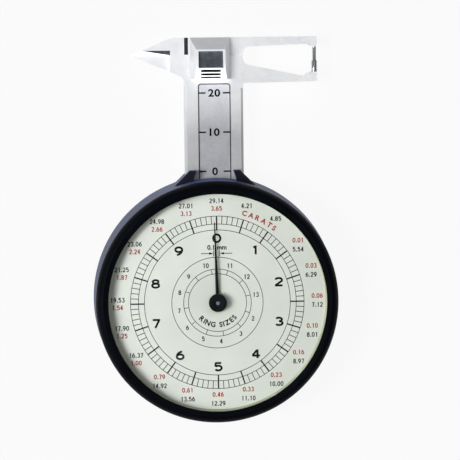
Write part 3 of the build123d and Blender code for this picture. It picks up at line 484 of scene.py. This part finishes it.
def printed_circle(radius):
    """A thin printed ring on the dial."""
    inner, outer = radius - circle_line / 2, radius + circle_line / 2
    corners = [(inner, ink_low), (outer, ink_low), (outer, ink_high), (inner, ink_high)]
    points, faces = lathe(corners, steps=192)
    return points + [*print_shift, 0], faces


def glyphs(text, weight=0.0, spacing=1.0):
    """Points and faces of lettering in the built-in typeface, one unit thick and pushed out by weight."""
    curve = bpy.data.curves.new("lettering", "FONT")
    curve.body = text
    curve.offset = weight
    curve.space_character = spacing
    curve.resolution_u = 4
    curve.extrude = 0.5
    holder = bpy.data.objects.new("lettering", curve)
    mesh = bpy.data.meshes.new_from_object(holder)
    points = np.zeros(len(mesh.vertices) * 3, np.float32)
    mesh.vertices.foreach_get("co", points)
    faces = [list(polygon.vertices) for polygon in mesh.polygons]
    bpy.data.objects.remove(holder)
    bpy.data.curves.remove(curve)
    bpy.data.meshes.remove(mesh)
    return points.reshape(-1, 3).astype(float), faces


def lettering(text, centre, height, width=1.0, weight=0.0, turn=0.0, face_z=dial_face_z, spacing=1.0):
    """Lettering of a given height about a centre; width stretches it, turn rotates it in degrees."""
    points, faces = glyphs(text, weight, spacing)
    low, high = points.min(0), points.max(0)
    scale = height / (high[1] - low[1])
    x = (points[:, 0] - (low[0] + high[0]) / 2) * scale * width
    y = (points[:, 1] - (low[1] + high[1]) / 2) * scale
    z = np.where(points[:, 2] > 0, face_z + ink_height, face_z - ink_sink)
    c, s = cos(radians(turn)), sin(radians(turn))
    return np.stack([centre[0] + c * x - s * y, centre[1] + s * x + c * y, z], axis=-1), faces


def bow(centre, radii, start, end, count=20):
    """Points along part of an upright ellipse, between two angles in degrees."""
    angle = np.radians(np.linspace(start, end, count))
    return np.stack([centre[0] + radii[0] * np.cos(angle), centre[1] + radii[1] * np.sin(angle)], axis=-1)


def digit_strokes(n):
    """Strokes of a wide digit one unit high about its middle; each stroke is a line of points."""
    ring = (0, 360)
    six = [
        bow((0.0, -0.17), (0.38, 0.26), *ring, 33),
        bow((0.31, -0.17), (0.69, 0.59), 180, 97),
    ]
    strokes = {
        0: [bow((0.0, 0.0), (0.40, 0.42), *ring, 41)],
        1: [[(0.08, -0.50), (0.08, 0.50)], [(0.09, 0.42), (-0.19, 0.27)]],
        2: [
            np.concatenate([bow((0.0, 0.19), (0.37, 0.23), 170, -38), [(-0.36, -0.40)]]),
            [(-0.43, -0.42), (0.43, -0.42)],
        ],
        3: [bow((-0.02, 0.22), (0.34, 0.20), 152, -90), bow((0.0, -0.20), (0.39, 0.22), 90, -152)],
        4: [[(0.13, 0.46), (-0.40, -0.19)], [(-0.43, -0.20), (0.45, -0.20)], [(0.17, 0.50), (0.17, -0.50)]],
        5: [
            [(-0.30, 0.42), (0.34, 0.42)],
            [(-0.27, 0.49), (-0.33, 0.02)],
            bow((0.0, -0.15), (0.38, 0.27), 146, -150),
        ],
        6: six,
        7: [[(-0.39, 0.42), (0.41, 0.42)], [(0.37, 0.47), (-0.10, -0.50)]],
        8: [bow((0.0, 0.23), (0.32, 0.19), *ring, 33), bow((0.0, -0.20), (0.39, 0.22), *ring, 33)],
        9: [-stroke for stroke in six],
    }
    return [np.asarray(stroke, float) for stroke in strokes[n]]


def ribbon(path, width, low_z, high_z):
    """A flat ribbon along a line of points: each side lies half the width off it, square to its direction."""
    along = np.gradient(path, axis=0)
    along /= np.linalg.norm(along, axis=1, keepdims=True)
    aside = np.stack([-along[:, 1], along[:, 0]], axis=-1) * width / 2
    left, right = path + aside, path - aside
    corners = [(left, high_z), (left, low_z), (right, low_z), (right, high_z)]
    points = np.stack([np.column_stack([side, np.full(len(path), z)]) for side, z in corners], axis=1)
    last = 4 * len(path) - 4
    ends = [[3, 2, 1, 0], [last, last + 1, last + 2, last + 3]]
    return points.reshape(-1, 3), grid_faces(len(path), 4, close_columns=True) + ends


def large_digit(n):
    """One of the ten wide digits, upright at its place; each stroke lies a hair above the one before."""
    centre = at(digit_radius, degrees_per_mm * n)
    shapes = []
    for k, stroke in enumerate(digit_strokes(n)):
        path = centre + stroke * digit_height
        shapes.append(ribbon(path, digit_stroke, ink_low, ink_high + stroke_rise * k))
    return shapes


def number(text, centre):
    """A small number in narrow strokes of the large digits' shapes; a point takes half a digit's room."""
    digit_room, point_room = 0.69, 0.36
    point_size = small_stroke * 1.2
    room = [small_height * (point_room if letter == "." else digit_room) for letter in text]
    left = centre[0] - sum(room) / 2
    shapes = []
    for letter, size in zip(text, room):
        middle = np.array([left + size / 2, centre[1]])
        left += size
        if letter == ".":
            foot = middle - np.array([0, small_height / 2])
            shapes.append(bars([foot], [foot + np.array([0, point_size])], point_size, ink_low, ink_high))
            continue
        for k, path in enumerate(digit_strokes(int(letter))):
            path = middle + path * np.array([small_width, 1.0]) * small_height
            shapes.append(ribbon(path, small_stroke, ink_low, ink_high + stroke_rise * k))
    return shapes


def arc_lettering(text, radius, middle, gap, upright):
    """A legend along an arc about an angle: its letters' tops point outwards if upright, or else inwards."""
    space = 0.45
    sizes = []
    for letter in text:
        if letter == " ":
            sizes.append(legend_height * space)
            continue
        points, _ = glyphs(letter, legend_weight)
        size = np.ptp(points, axis=0)
        sizes.append(size[0] / size[1] * legend_height)
    total = sum(sizes) + gap * (len(text) - 1)
    side = 1 if upright else -1
    reach = -total / 2
    shapes = []
    for letter, size in zip(text, sizes):
        angle = middle + side * np.degrees((reach + size / 2) / radius)
        reach += size + gap
        if letter == " ":
            continue
        turn = -angle if upright else 180 - angle
        shapes.append(lettering(letter, at(radius, angle), legend_height, weight=legend_weight, turn=turn))
    return shapes


def dress(node, edge):
    """A copy of a rigid CAD piece, its seams merged, its flats whole and its edges broken by a small round.

    A flat with a hole in it is first cut across the hole, so that each part of it has a plain
    outline. Faces that turn by less than the flat angle, in degrees, are one flat, and edges
    that turn by more than the broken angle are broken.
    """
    flat_angle = 0.6
    broken_angle = 30
    slot = slot_of[node]
    mesh = frame["nodes"][node].data.copy()
    mesh.name = node + "_dressed"
    if "custom_normal" in mesh.attributes:
        mesh.attributes.remove(mesh.attributes["custom_normal"])
    solid = bmesh.new()
    solid.from_mesh(mesh)
    bmesh.ops.remove_doubles(solid, verts=solid.verts, dist=cad_reach)
    for cut_y in cuts_across.get(node, ()):
        everything = [*solid.verts, *solid.edges, *solid.faces]
        cut = bmesh.ops.bisect_plane(
            solid, geom=everything, dist=made_reach, plane_co=(0, cut_y * MM, 0), plane_no=(0, 1, 0)
        )
        for edge_cut in cut["geom_cut"]:
            if isinstance(edge_cut, bmesh.types.BMEdge):
                edge_cut.seam = True
    bmesh.ops.recalc_face_normals(solid, faces=solid.faces)
    bmesh.ops.dissolve_limit(
        solid,
        angle_limit=radians(flat_angle),
        verts=solid.verts,
        edges=solid.edges,
        use_dissolve_boundaries=False,
        delimit={"SEAM"},
    )
    solid.to_mesh(mesh)
    solid.free()
    mesh.polygons.foreach_set("use_smooth", [True] * len(mesh.polygons))
    mesh.materials.clear()
    mesh.materials.append(materials[slot])
    made = bpy.data.objects.new(node + "_dressed", mesh)
    bpy.context.scene.collection.objects.link(made)
    bevel = made.modifiers.new("broken_edges", "BEVEL")
    bevel.width = edge * MM
    bevel.segments = 2
    bevel.limit_method = "ANGLE"
    bevel.angle_limit = radians(broken_angle)
    bevel.use_clamp_overlap = True
    bevel.harden_normals = True
    bevel.miter_outer = "MITER_ARC"
    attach(made, body_of[node])
    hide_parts(node)


# Which body each CAD node moves with
body_of = {
    node: body
    for body, members in frame["record"]["behaviour"]["bodies"].items()
    for node in members
}

# Which slot each CAD node takes its material from
nodes_of_slot = {
    "case_plastic": ["rear_cover", "case_shell"],
    "bezel_plastic": ["bezel"],
    "satin_steel": ["beam", "slide", "gib_left", "gib_right", "thumb_block"],
    "bright_steel": [
        "cover_screws", "beam_screws", "gib_screws", "block_screws", "contact_pin", "spring_pin",
        "spring_post", "centre_arbor", "intermediate_arbor", "rack_pinion", "centre_pinion",
        "hairspring_stud",
    ],
    "blued_steel": ["stop_screw", "rack_screws", "plate_screws", "bridge_screws", "cock_screws"],
    "spring_steel": ["return_spring", "hairspring"],
    "brass": [
        "travel_stop", "rack", "main_plate", "top_bridge", "bridge_pillars", "lower_cock",
        "cock_pillars", "drive_wheel", "hairspring_collet",
    ],
    "bush_bronze": ["plate_bushes", "bridge_bushes", "cock_bush"],
    "strip_metal": ["scale_strip"],
    "insert_grey": ["thumb_insert"],
    "dial_enamel": ["dial_plate"],
    "spacer_olive": ["spacer_ring"],
    "pointer_black": ["pointer", "pointer_hub"],
    "crystal_acrylic": ["crystal"],
}
slot_of = {node: slot for slot, members in nodes_of_slot.items() for node in members}

for node, thing in frame["nodes"].items():
    material = materials[slot_of[node]]
    if not thing.material_slots:
        thing.data.materials.append(material)
    for holder in thing.material_slots:
        holder.material = material

# Pieces that the low front light reaches
steel_nodes = [*nodes_of_slot["satin_steel"], *nodes_of_slot["strip_metal"], "contact_pin"]

# Where the flats of a piece are cut across their holes, along Y
cuts_across = {"beam": (-24.2, -18.0, 22.0), "thumb_block": (61.2,)}

# Width of the broken edge on each rigid piece that shows, in millimetres
broken_edges = {
    "case_shell": 0.18, "rear_cover": 0.25, "beam": 0.20, "slide": 0.20, "thumb_block": 0.10,
    "thumb_insert": 0.06, "scale_strip": 0.03, "contact_pin": 0.05, "cover_screws": 0.08,
    "block_screws": 0.05, "gib_left": 0.05, "gib_right": 0.05, "gib_screws": 0.03, "rack": 0.03,
    "travel_stop": 0.08,
}
for node, edge in broken_edges.items():
    dress(node, edge)


def make_bezel():
    """The bezel's ring: a lip over the crystal's edge, a nearly flat top and a long bulging outer slope."""
    low, high = (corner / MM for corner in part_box("bezel"))
    foot_z = 12.9
    outer = 30.7
    inner = 27.75
    lip_foot_z = 14.9
    pocket_radius, pocket_z = 28.7, 14.45
    skirt_radius = 29.5
    lip = (27.60, foot_z + 2.85)
    crest = (29.0, high.z)
    foot = (outer, foot_z)
    bulge = (outer - 0.51, foot_z + 2.16)
    slope = arc(foot, bulge, crest, count=18)
    rest = [
        lip,
        (inner, lip_foot_z),
        (inner, pocket_z),
        (pocket_radius, pocket_z),
        (pocket_radius, low.z),
        (skirt_radius, low.z),
        (skirt_radius, foot_z),
    ]
    foot_round, crest_round, lip_round = 0.12, 0.22, 0.10
    last = len(slope)
    profile = rounded([*slope, *rest], {0: foot_round, last - 1: crest_round, last: lip_round})
    piece("bezel_ring", [lathe(profile)], "case", "bezel_plastic", ["bezel"])


def make_crystal():
    """The crystal: a domed pane of even wall with a flat flange that the bezel holds down."""
    low, high = (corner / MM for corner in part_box("crystal"))
    flange_radius = high.x
    flange_top = 14.4
    radius = 27.65
    shoulder = 14.9
    inner_shoulder = shoulder - 0.35
    wall = 0.6
    outside = dome_points((radius, shoulder), high.z)
    inside = dome_points((radius - wall, inner_shoulder), high.z - wall)[::-1]
    profile = [
        *outside[::-1],
        (radius, flange_top),
        (flange_radius, flange_top),
        (flange_radius, low.z),
        (radius - wall, low.z),
        *inside,
    ]
    piece("crystal_dome", [lathe(profile[::-1])], "case", "crystal_acrylic", ["crystal"])


def dome_points(edge, crown, count=28):
    """Points of a shallow spherical cap from its edge in to its crown: h = crown - (R - sqrt(R^2 - r^2)).

    The last point stays a hair off the axis: a pole there would show as a dark spot.
    """
    nearest = 0.0008
    radius, height = edge
    rise = crown - height
    sphere = (radius**2 + rise**2) / (2 * rise)
    r = radius * np.linspace(1, nearest, count)
    return np.stack([r, crown - (sphere - np.sqrt(sphere**2 - r**2))], axis=-1).tolist()


def make_spacer():
    """The olive ring between dial and crystal, which flares outwards a little as it rises."""
    low, high = (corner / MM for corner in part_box("spacer_ring"))
    inner = 27.5
    flare = 0.2
    brow_round = 0.08
    profile = [(inner, low.z), (high.x, low.z), (high.x, high.z), (inner + flare, high.z)]
    profile = rounded(profile, {3: brow_round})
    piece("spacer_trim", [lathe(profile)], "case", "spacer_olive", ["spacer_ring"])


def make_dial():
    """The dial plate: a thin disc with a hole for the arbor and edges rounded by its enamel."""
    edge_round = 0.08
    profile = [
        (dial_hole_radius, dial_low.z),
        (dial_radius, dial_low.z),
        (dial_radius, dial_face_z),
        (dial_hole_radius, dial_face_z),
    ]
    profile = rounded(profile, {2: edge_round, 3: edge_round})
    piece("dial_face", [lathe(profile)], "case", "dial_enamel", ["dial_plate"])


def make_dial_scales():
    """The 0.1 mm scale of a hundred ticks, its circles and the ring-size band."""
    tick_turn = 3.6
    heavy_every = 5
    all_ticks = np.arange(0, 360, tick_turn)
    heavy = np.arange(0, 360, heavy_every * tick_turn)
    light = all_ticks[np.arange(len(all_ticks)) % heavy_every != 0]
    # Where the marks of the ring sizes 2 to 13 stand, in millimetres of the dial's own scale
    ring_marks = [3.01, 3.80, 4.72, 5.57, 6.40, 7.25, 8.06, 8.89, 9.72, 0.51, 1.36, 2.16]
    ring_angles = np.array(ring_marks) * degrees_per_mm
    shapes = [
        ticks(light, minor_inner_radius, minor_outer_radius, minor_line),
        ticks(ring_angles, ring_band_inner, ring_band_outer, circle_line),
    ]
    circles = [minor_outer_radius, minor_inner_radius, major_inner_radius, ring_scale_radius]
    circles += [ring_band_outer, ring_band_inner]
    shapes += [printed_circle(radius) for radius in circles]
    piece("scale_print", shapes, "case", "pointer_black", material=grey_ink)
    heavy_ticks = [ticks(heavy, major_inner_radius, minor_outer_radius, major_line)]
    piece("heavy_tick_print", heavy_ticks, "case", "pointer_black", material=black_ink)


def make_dial_numbers():
    """The ten large digits, the ring sizes with their legend, and the mark that tells a tick's worth."""
    digits = [shape for n in range(10) for shape in large_digit(n)]
    piece("large_digit_print", digits, "case", "pointer_black", material=black_ink)
    ring_radius = 9.93
    ring_angles = [115, 144, 175, 202, 231, 259, 286, 313, 343, 19, 49, 79]
    ring_numbers = []
    for size, angle in zip(range(2, 14), ring_angles):
        ring_numbers += number(str(size), at(ring_radius, angle))
    ring_numbers += arc_lettering("RING SIZES", radius=5.7, middle=179, gap=0.18, upright=False)
    piece("ring_size_print", ring_numbers, "case", "pointer_black", material=grey_ink)
    piece("tick_worth_print", tick_worth(), "case", "pointer_black", material=grey_ink)


def tick_worth():
    """The legend 0.1 mm, and below it two arrows that point in at two marks about a tick apart."""
    text_y = 13.95
    text_height = 1.25
    arrow_y = 12.4
    mark_places = (-0.85, 0.66)
    mark_half = 0.75
    tip_gap = 0.08
    head_length = 1.1
    head_half = 0.34
    line_length = 3.2
    shapes = [lettering("0.1 mm", (0.0, text_y), text_height, weight=legend_weight)]
    for mark_x, side in zip(mark_places, (-1, 1)):
        tip_x = mark_x + side * tip_gap
        base_x = mark_x + side * head_length
        end_x = mark_x + side * line_length
        mark_foot, mark_top = (mark_x, arrow_y - mark_half), (mark_x, arrow_y + mark_half)
        shapes.append(bars([mark_foot], [mark_top], minor_line, ink_low, ink_high))
        shapes.append(bars([(base_x, arrow_y)], [(end_x, arrow_y)], minor_line, ink_low, ink_high))
        corners = [(tip_x, arrow_y), (base_x, arrow_y + head_half), (base_x, arrow_y - head_half)]
        if side > 0:
            corners.reverse()
        points = [(x, y, z) for z in (ink_low, ink_high) for x, y in corners]
        shapes.append((points, [[0, 1, 2], [5, 4, 3], [0, 3, 4, 1], [1, 4, 5, 2], [2, 5, 3, 0]]))
    return shapes


def make_carat_weights():
    """Weights of round stones in pairs outside the heavy ticks.

    The red ones hold for the pointer's first turn and the black ones for its second.
    """
    black = [
        "29.14", "4.21", "4.85", "5.54", "6.29", "7.12", "8.01", "8.97", "10.00", "11.10",
        "12.29", "13.56", "14.92", "16.37", "17.90", "19.53", "21.25", "23.06", "24.98", "27.01",
    ]
    red = [
        "3.65", "", "", "0.01", "0.03", "0.06", "0.10", "0.16", "0.23", "0.33",
        "0.46", "0.61", "0.79", "1.00", "1.25", "1.54", "1.87", "2.24", "2.66", "3.13",
    ]
    # Middle of each pair, clockwise from the top
    places = [
        (0.00, 24.75), (7.67, 23.35), (14.95, 20.00), (20.60, 14.25), (23.85, 7.75),
        (25.35, 0.05), (24.05, -7.60), (20.50, -14.35), (14.75, -20.05), (7.60, -23.60),
        (-0.10, -24.80), (-7.85, -23.55), (-14.95, -20.00), (-20.80, -14.20), (-24.30, -7.25),
        (-25.30, -0.05), (-24.10, 7.65), (-20.75, 14.10), (-15.05, 19.70), (-7.70, 23.55),
    ]
    # Which pairs have the red number on top, and how far each number stands from its pair's middle
    red_on_top = range(3, 13)
    red_top_reach, black_top_reach = 1.15, 0.97
    black_shapes = []
    red_shapes = []
    for k, (black_text, red_text, centre) in enumerate(zip(black, red, np.array(places))):
        rise = np.array([0.0, red_top_reach if k in red_on_top else -black_top_reach])
        black_shapes += number(black_text, centre - rise)
        red_shapes += number(red_text, centre + rise)
    red_shapes += arc_lettering("CARATS", radius=23.7, middle=27.4, gap=0.48, upright=True)
    piece("black_weight_print", black_shapes, "case", "pointer_black", material=black_ink)
    piece("red_weight_print", red_shapes, "case", "pointer_black", material=red_ink)


def make_pointer():
    """The needle: a tapered blade with a low ridge on a ring under the hub.

    Before it is leant, a point of the blade is x = half width times the section's, y = length
    times share, and the half width falls evenly from root to tip.
    """
    low, high = (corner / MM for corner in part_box("pointer"))
    length = 20.3
    root_half, tip_half = 0.475, 0.11
    lean = radians(1.7)
    ring_radius = 1.4
    # Its section: across in half widths, upwards in shares of its thickness
    section = np.array([(-1, 0), (1, 0), (1, 0.55), (0.3, 1), (-0.3, 1), (-1, 0.55)])
    share = np.linspace(0, 1, 9)[:, None]
    half = root_half + (tip_half - root_half) * share
    x = half * section[:, 0]
    y = length * share + 0 * x
    z = low.z + (high.z - low.z) * section[:, 1] + 0 * x
    c, s = cos(lean), sin(lean)
    points = np.stack([c * x - s * y, s * x + c * y, z], axis=-1).reshape(-1, 3)
    rows, columns = x.shape
    faces = [loop[::-1] for loop in grid_faces(rows, columns, close_columns=True)]
    faces += [list(range(columns)), list(range(points.shape[0] - columns, points.shape[0]))[::-1]]
    corners = [(pointer_bore, low.z), (ring_radius, low.z), (ring_radius, high.z), (pointer_bore, high.z)]
    ring = lathe(corners, steps=64)
    piece("pointer_blade", [(points, faces), ring], "pointer", "pointer_black", ["pointer"])


def make_pointer_hub():
    """The hub: a turned disc with a rounded shoulder and a shallow dish in its top."""
    low, high = (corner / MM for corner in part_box("pointer_hub"))
    radius = high.x
    dish_rim, dish_floor = radius * 0.62, radius * 0.52
    profile = [
        (pointer_bore, low.z),
        (radius, low.z),
        (radius, high.z),
        (dish_rim, high.z),
        (dish_floor, high.z - dish_depth),
        (pointer_bore, high.z - dish_depth),
    ]
    foot_round, shoulder_round, rim_round = 0.08, 0.32, 0.1
    profile = rounded(profile, {1: foot_round, 2: shoulder_round, 3: rim_round})
    piece("pointer_boss", [lathe(profile, steps=96)], "pointer", "pointer_black", ["pointer_hub"])


def tube(path, normals, radius, closed=False, sides=14):
    """A round tube along a path: point = path + radius (normal cos v + binormal sin v).

    The binormal is the tangent times the normal.
    """
    path, normals = np.asarray(path, float), np.asarray(normals, float)
    if closed:
        along = np.roll(path, -1, 0) - np.roll(path, 1, 0)
    else:
        along = np.gradient(path, axis=0)
    along /= np.linalg.norm(along, axis=1, keepdims=True)
    normals = normals - along * np.sum(normals * along, axis=1, keepdims=True)
    normals /= np.linalg.norm(normals, axis=1, keepdims=True)
    aside = np.cross(along, normals)
    v = np.linspace(0, 2 * pi, sides, endpoint=False)[None, :, None]
    points = path[:, None] + radius * (normals[:, None] * np.cos(v) + aside[:, None] * np.sin(v))
    rows = len(path)
    faces = [loop[::-1] for loop in grid_faces(rows, sides, closed, close_columns=True)]
    if not closed:
        faces += [list(range(sides)), list(range((rows - 1) * sides, rows * sides))[::-1]]
    return points.reshape(-1, 3), faces


def make_return_spring():
    """The pull spring: a close coil about a line along Y, with a lead and a round loop at each end."""
    low, high = (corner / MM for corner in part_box("return_spring"))
    wire = 0.2
    coil = 1.0
    lead = 2.4
    pitch = 1.05
    turn_steps, loop_steps, lead_steps = 20, 32, 12
    x, z = (low.x + high.x) / 2, (low.z + high.z) / 2
    loop_reach = coil + wire
    bottom, top = low.y + loop_reach, high.y - loop_reach
    first, last = bottom + lead, top - lead
    turns = round((last - first) / pitch)
    angle = np.linspace(0, 2 * pi * turns, turns * turn_steps + 1)
    out = np.stack([np.cos(angle), 0 * angle, np.sin(angle)], axis=-1)
    rise = first + (last - first) * angle / angle[-1]
    helix = np.stack([x + 0 * angle, rise, z + 0 * angle], axis=-1) + coil * out
    shapes = [tube(helix, out, wire)]
    for loop_y, coil_y in ((bottom, first), (top, last)):
        v = np.linspace(0, 2 * pi, loop_steps, endpoint=False)
        ring_out = np.stack([np.cos(v), np.sin(v), 0 * v], axis=-1)
        shapes.append(tube(np.array([x, loop_y, z]) + coil * ring_out, ring_out, wire, closed=True))
        share = np.linspace(0, 1, lead_steps)[:, None]
        start, end = np.array([x + coil, coil_y, z]), np.array([x + coil, loop_y, z])
        upwards = np.tile([0.0, 0.0, 1.0], (lead_steps, 1))
        shapes.append(tube(start + (end - start) * share, upwards, wire))
    made = piece("return_spring_coil", shapes, None, "spring_steel", ["return_spring"], ride=False)
    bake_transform(made)


def make_stem_scale():
    """Print on the scale strip: a dash at each side and a number at 0, 10 and 20 mm."""
    low, high = (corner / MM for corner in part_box("scale_strip"))
    face_z = high.z
    zero_y = 32.75
    middle_x = (low.x + high.x) / 2
    dash_reach, dash_inner = 4.05, 2.2
    dash_width = 0.38
    look = {"height": 2.0, "width": 1.12, "weight": 0.028, "spacing": 1.08}
    shapes = []
    for value in (0, 10, 20):
        y = zero_y + value
        starts = [(middle_x - dash_reach, y), (middle_x + dash_inner, y)]
        ends = [(middle_x - dash_inner, y), (middle_x + dash_reach, y)]
        shapes.append(bars(starts, ends, dash_width, face_z - ink_sink, face_z + ink_height))
        shapes.append(lettering(str(value), (middle_x, y), face_z=face_z, **look))
    piece("stem_scale_print", shapes, "slide", "pointer_black", material=black_ink)


def make_groove_paint():
    """Black in the thumb block's three grooves, darker than the steel round them: bars with rounded ends that
    follow the sloping face.

    Half a bar's width at u, from -1 to 1 along it, is its middle's times sqrt(1 - |u|^6).
    """
    block_middle_x = -0.80
    brow = (58.95, 9.8)
    slope = 0.38
    sink = 0.10
    thickness = 0.25
    half_length = 2.55
    bluntness = 6
    shapes = []
    for y, width in ((58.39, 0.58), (57.52, 0.52), (56.75, 0.36)):
        u = np.linspace(-1, 1, 25)
        half = width / 2 * np.sqrt(np.clip(1 - np.abs(u) ** bluntness, 0, 1))
        front = np.stack([half_length * u, y - half], axis=-1)
        back = np.stack([half_length * u, y + half], axis=-1)[::-1][1:-1]
        outline = np.concatenate([front, back])
        top = brow[1] - slope * (brow[0] - outline[:, 1]) - sink
        upper = np.stack([outline[:, 0] + block_middle_x, outline[:, 1], top], axis=-1)
        shapes.append(slab(upper - np.array([0, 0, thickness]), upper))
    piece("groove_paint", shapes, "slide", "pointer_black")


def flat_outline(node, low, high, facing):
    """Corners in order and normal of the flat of a CAD piece that lies in a box and faces a direction.

    Triangles belong to the flat if their normal's share along the direction is at least likeness.
    """
    likeness = 0.97
    solid = bmesh.new()
    solid.from_mesh(frame["nodes"][node].data)
    bmesh.ops.remove_doubles(solid, verts=solid.verts, dist=cad_reach)
    facing = Vector(facing).normalized()
    others = [
        face
        for face in solid.faces
        if face.normal.dot(facing) < likeness
        or not all(low[k] <= vert.co[k] / MM <= high[k] for vert in face.verts for k in range(3))
    ]
    bmesh.ops.delete(solid, geom=others, context="FACES")
    bmesh.ops.dissolve_limit(solid, angle_limit=radians(1), verts=solid.verts, edges=solid.edges)
    (face,) = solid.faces
    points = np.array([vert.co / MM for vert in face.verts])
    normal = np.array(face.normal)
    solid.free()
    return points, normal


def skin(name, node, low, high, facing, material):
    """A thin skin over one flat face of a CAD piece, in a darker colour than the piece: painted shade, or a
    painted dark reflection, on that face.
    """
    sink = 0.02
    rise = 0.012
    points, normal = flat_outline(node, low, high, facing)
    shape = slab(points - normal * sink, points + normal * rise)
    piece(name, [shape], body_of[node], "blued_steel", material=material)


def make_window_bead():
    """The bead of black lacquer in the joint round the scale strip: a band along a rounded outline."""
    low, high = (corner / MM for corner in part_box("scale_strip"))
    face_z = high.z
    width = 0.26
    corner = 0.69
    foot_y = low.y + 0.2
    sink = 0.05
    rise = 0.02
    turn = np.linspace(0, pi / 2, 9)
    bend = corner * np.stack([np.cos(turn), np.sin(turn)], axis=-1)
    right = np.array([high.x - corner, high.y - corner]) + bend
    left = np.array([low.x + corner, high.y - corner]) + bend[::-1] * [-1, 1]
    path = np.concatenate([[(high.x, foot_y)], right, left, [(low.x, foot_y)]])
    shape = ribbon(path, width, face_z - sink, face_z + rise)
    piece("window_bead", [shape], "slide", "pointer_black", material=black_ink)


def make_arbor_tip():
    """The burnished end of the centre arbor, spread over the hub's dish: a low cap with a centre dimple."""
    _, high = (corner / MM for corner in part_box("centre_arbor"))
    _, hub_high = (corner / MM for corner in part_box("pointer_hub"))
    radius = 0.48
    dimple = 0.02
    foot_z = hub_high.z - 0.17
    brow_z = max(high.z, hub_high.z - dish_depth) + 0.02
    crown_z = brow_z + 0.04
    profile = [(dimple, foot_z), (radius, foot_z), (radius, brow_z), (dimple, crown_z)]
    piece("arbor_tip", [lathe(profile, steps=48)], "pointer", "bright_steel", material=arbor_steel)


make_bezel()
make_crystal()
make_spacer()
make_dial()
make_dial_scales()
make_dial_numbers()
make_carat_weights()
make_pointer()
make_pointer_hub()
make_return_spring()
make_stem_scale()
make_groove_paint()
make_window_bead()
make_arbor_tip()
# The knife's ground bevel on the front inside prong, with a painted dark reflection, and the floor of the
# slot beside the jaws, with painted shade
skin("knife_bevel_skin", "slide", (-19, 62.0, 4.0), (-10, 64.5, 6.2), (0, -0.86, 0.5), bevel_painted_dark_reflection)
skin("slot_floor_skin", "beam", (-8.0, 62.4, 3.9), (-6.2, 67.0, 4.1), (0, 0, 1), slot_floor_painted_shade_steel)


def make_camera():
    """A camera with a long lens at the photograph's viewing angle."""
    place, aim = Vector(camera_place) * MM, Vector(camera_aim) * MM
    back = (place - aim).normalized()
    right = Vector((0, 1, 0)).cross(back).normalized()
    up = back.cross(right)
    c, s = cos(radians(camera_roll)), sin(radians(camera_roll))
    side = right * c + up * s
    top = up * c - right * s
    data = bpy.data.cameras.new("camera")
    data.sensor_width = sensor_width
    data.lens = focal_pixels / frame_pixels * sensor_width
    data.clip_start = 0.01
    made = bpy.data.objects.new("camera", data)
    turned = Matrix((side, top, back)).transposed().to_4x4()
    made.matrix_world = Matrix.Translation(place) @ turned
    bpy.context.scene.collection.objects.link(made)
    bpy.context.scene.camera = made


def softbox(name, place, aim, size, power, lit=()):
    """A rectangular studio lamp that points from its place to its aim, in metres, with a power in watts.

    Where lit holds any things, it lights only those.
    """
    data = bpy.data.lights.new(name, "AREA")
    data.shape = "RECTANGLE"
    data.size, data.size_y = size
    data.energy = power
    made = bpy.data.objects.new(name, data)
    made.location = place
    made.rotation_euler = (Vector(aim) - Vector(place)).to_track_quat("-Z", "Y").to_euler()
    bpy.context.scene.collection.objects.link(made)
    if lit:
        receivers = bpy.data.collections.new(name + "_receivers")
        for thing in lit:
            receivers.objects.link(thing)
        made.light_linking.receiver_collection = receivers


def make_sky():
    """A pale sky: the sum of soft-edged parts, each a level times the fades at its edges."""
    world = bpy.data.worlds.new("studio")
    bpy.context.scene.world = world
    world.use_nodes = True
    world.node_tree.nodes.clear()
    direction = add(world, "TexCoord").outputs["Generated"]
    axes = add(world, "SeparateXYZ", {0: direction})
    total = 0.0
    for level, edges in sky_parts:
        share = level
        for axis, dark, full in edges:
            fade = add(
                world,
                "MapRange",
                {"Value": axes.outputs[axis], "From Min": dark, "From Max": full},
                interpolation_type="SMOOTHSTEP",
            )
            dimmed = add(world, "Math", {0: share, 1: fade.outputs["Result"]}, operation="MULTIPLY")
            share = dimmed.outputs["Value"]
        total = add(world, "Math", {0: total, 1: share}, operation="ADD").outputs["Value"]
    background = add(world, "Background", {"Color": linear("FFFFFF"), "Strength": total})
    add(world, "OutputWorld", {"Surface": background.outputs["Background"]})


def make_floor():
    """The pale floor, a hair below the rear cover."""
    half = 1.5
    gap = 0.03
    points = [(x, y, -gap * MM) for x, y in ((-half, -half), (half, -half), (half, half), (-half, half))]
    mesh = bpy.data.meshes.new("floor")
    mesh.from_pydata(points, [], [(0, 1, 2, 3)])
    mesh.materials.append(white_sweep())
    floor = bpy.data.objects.new("floor", mesh)
    bpy.context.scene.collection.objects.link(floor)


# Parts of the sky: a brightness, and along some axes the directions where it is dark and full
sky_parts = [
    # even light, dim near the horizon
    (0.16, [("Z", 0.10, 0.50)]),
    # overhead towards the jaws
    (0.22, [("Y", -0.12, 0.05), ("Y", 0.60, 0.40), ("X", -0.50, -0.30), ("X", 0.50, 0.30), ("Z", 0.3, 0.6)]),
]

make_camera()
make_floor()
make_sky()
softbox("left_softbox", (-0.56, 0.02, 0.80), (0, 0.03, 0), (0.32, 0.36), 3.7)
# The low front light is for the steel alone: the case shades the stem's foot from it
steel = [thing for thing in bpy.data.objects if thing.name.removesuffix("_dressed") in steel_nodes]
softbox("front_softbox", (-0.10, -0.80, 0.38), (0, 0.055, 0.006), (0.70, 0.38), 12.5, steel)

view = bpy.context.scene.view_settings
view.view_transform = "Standard"
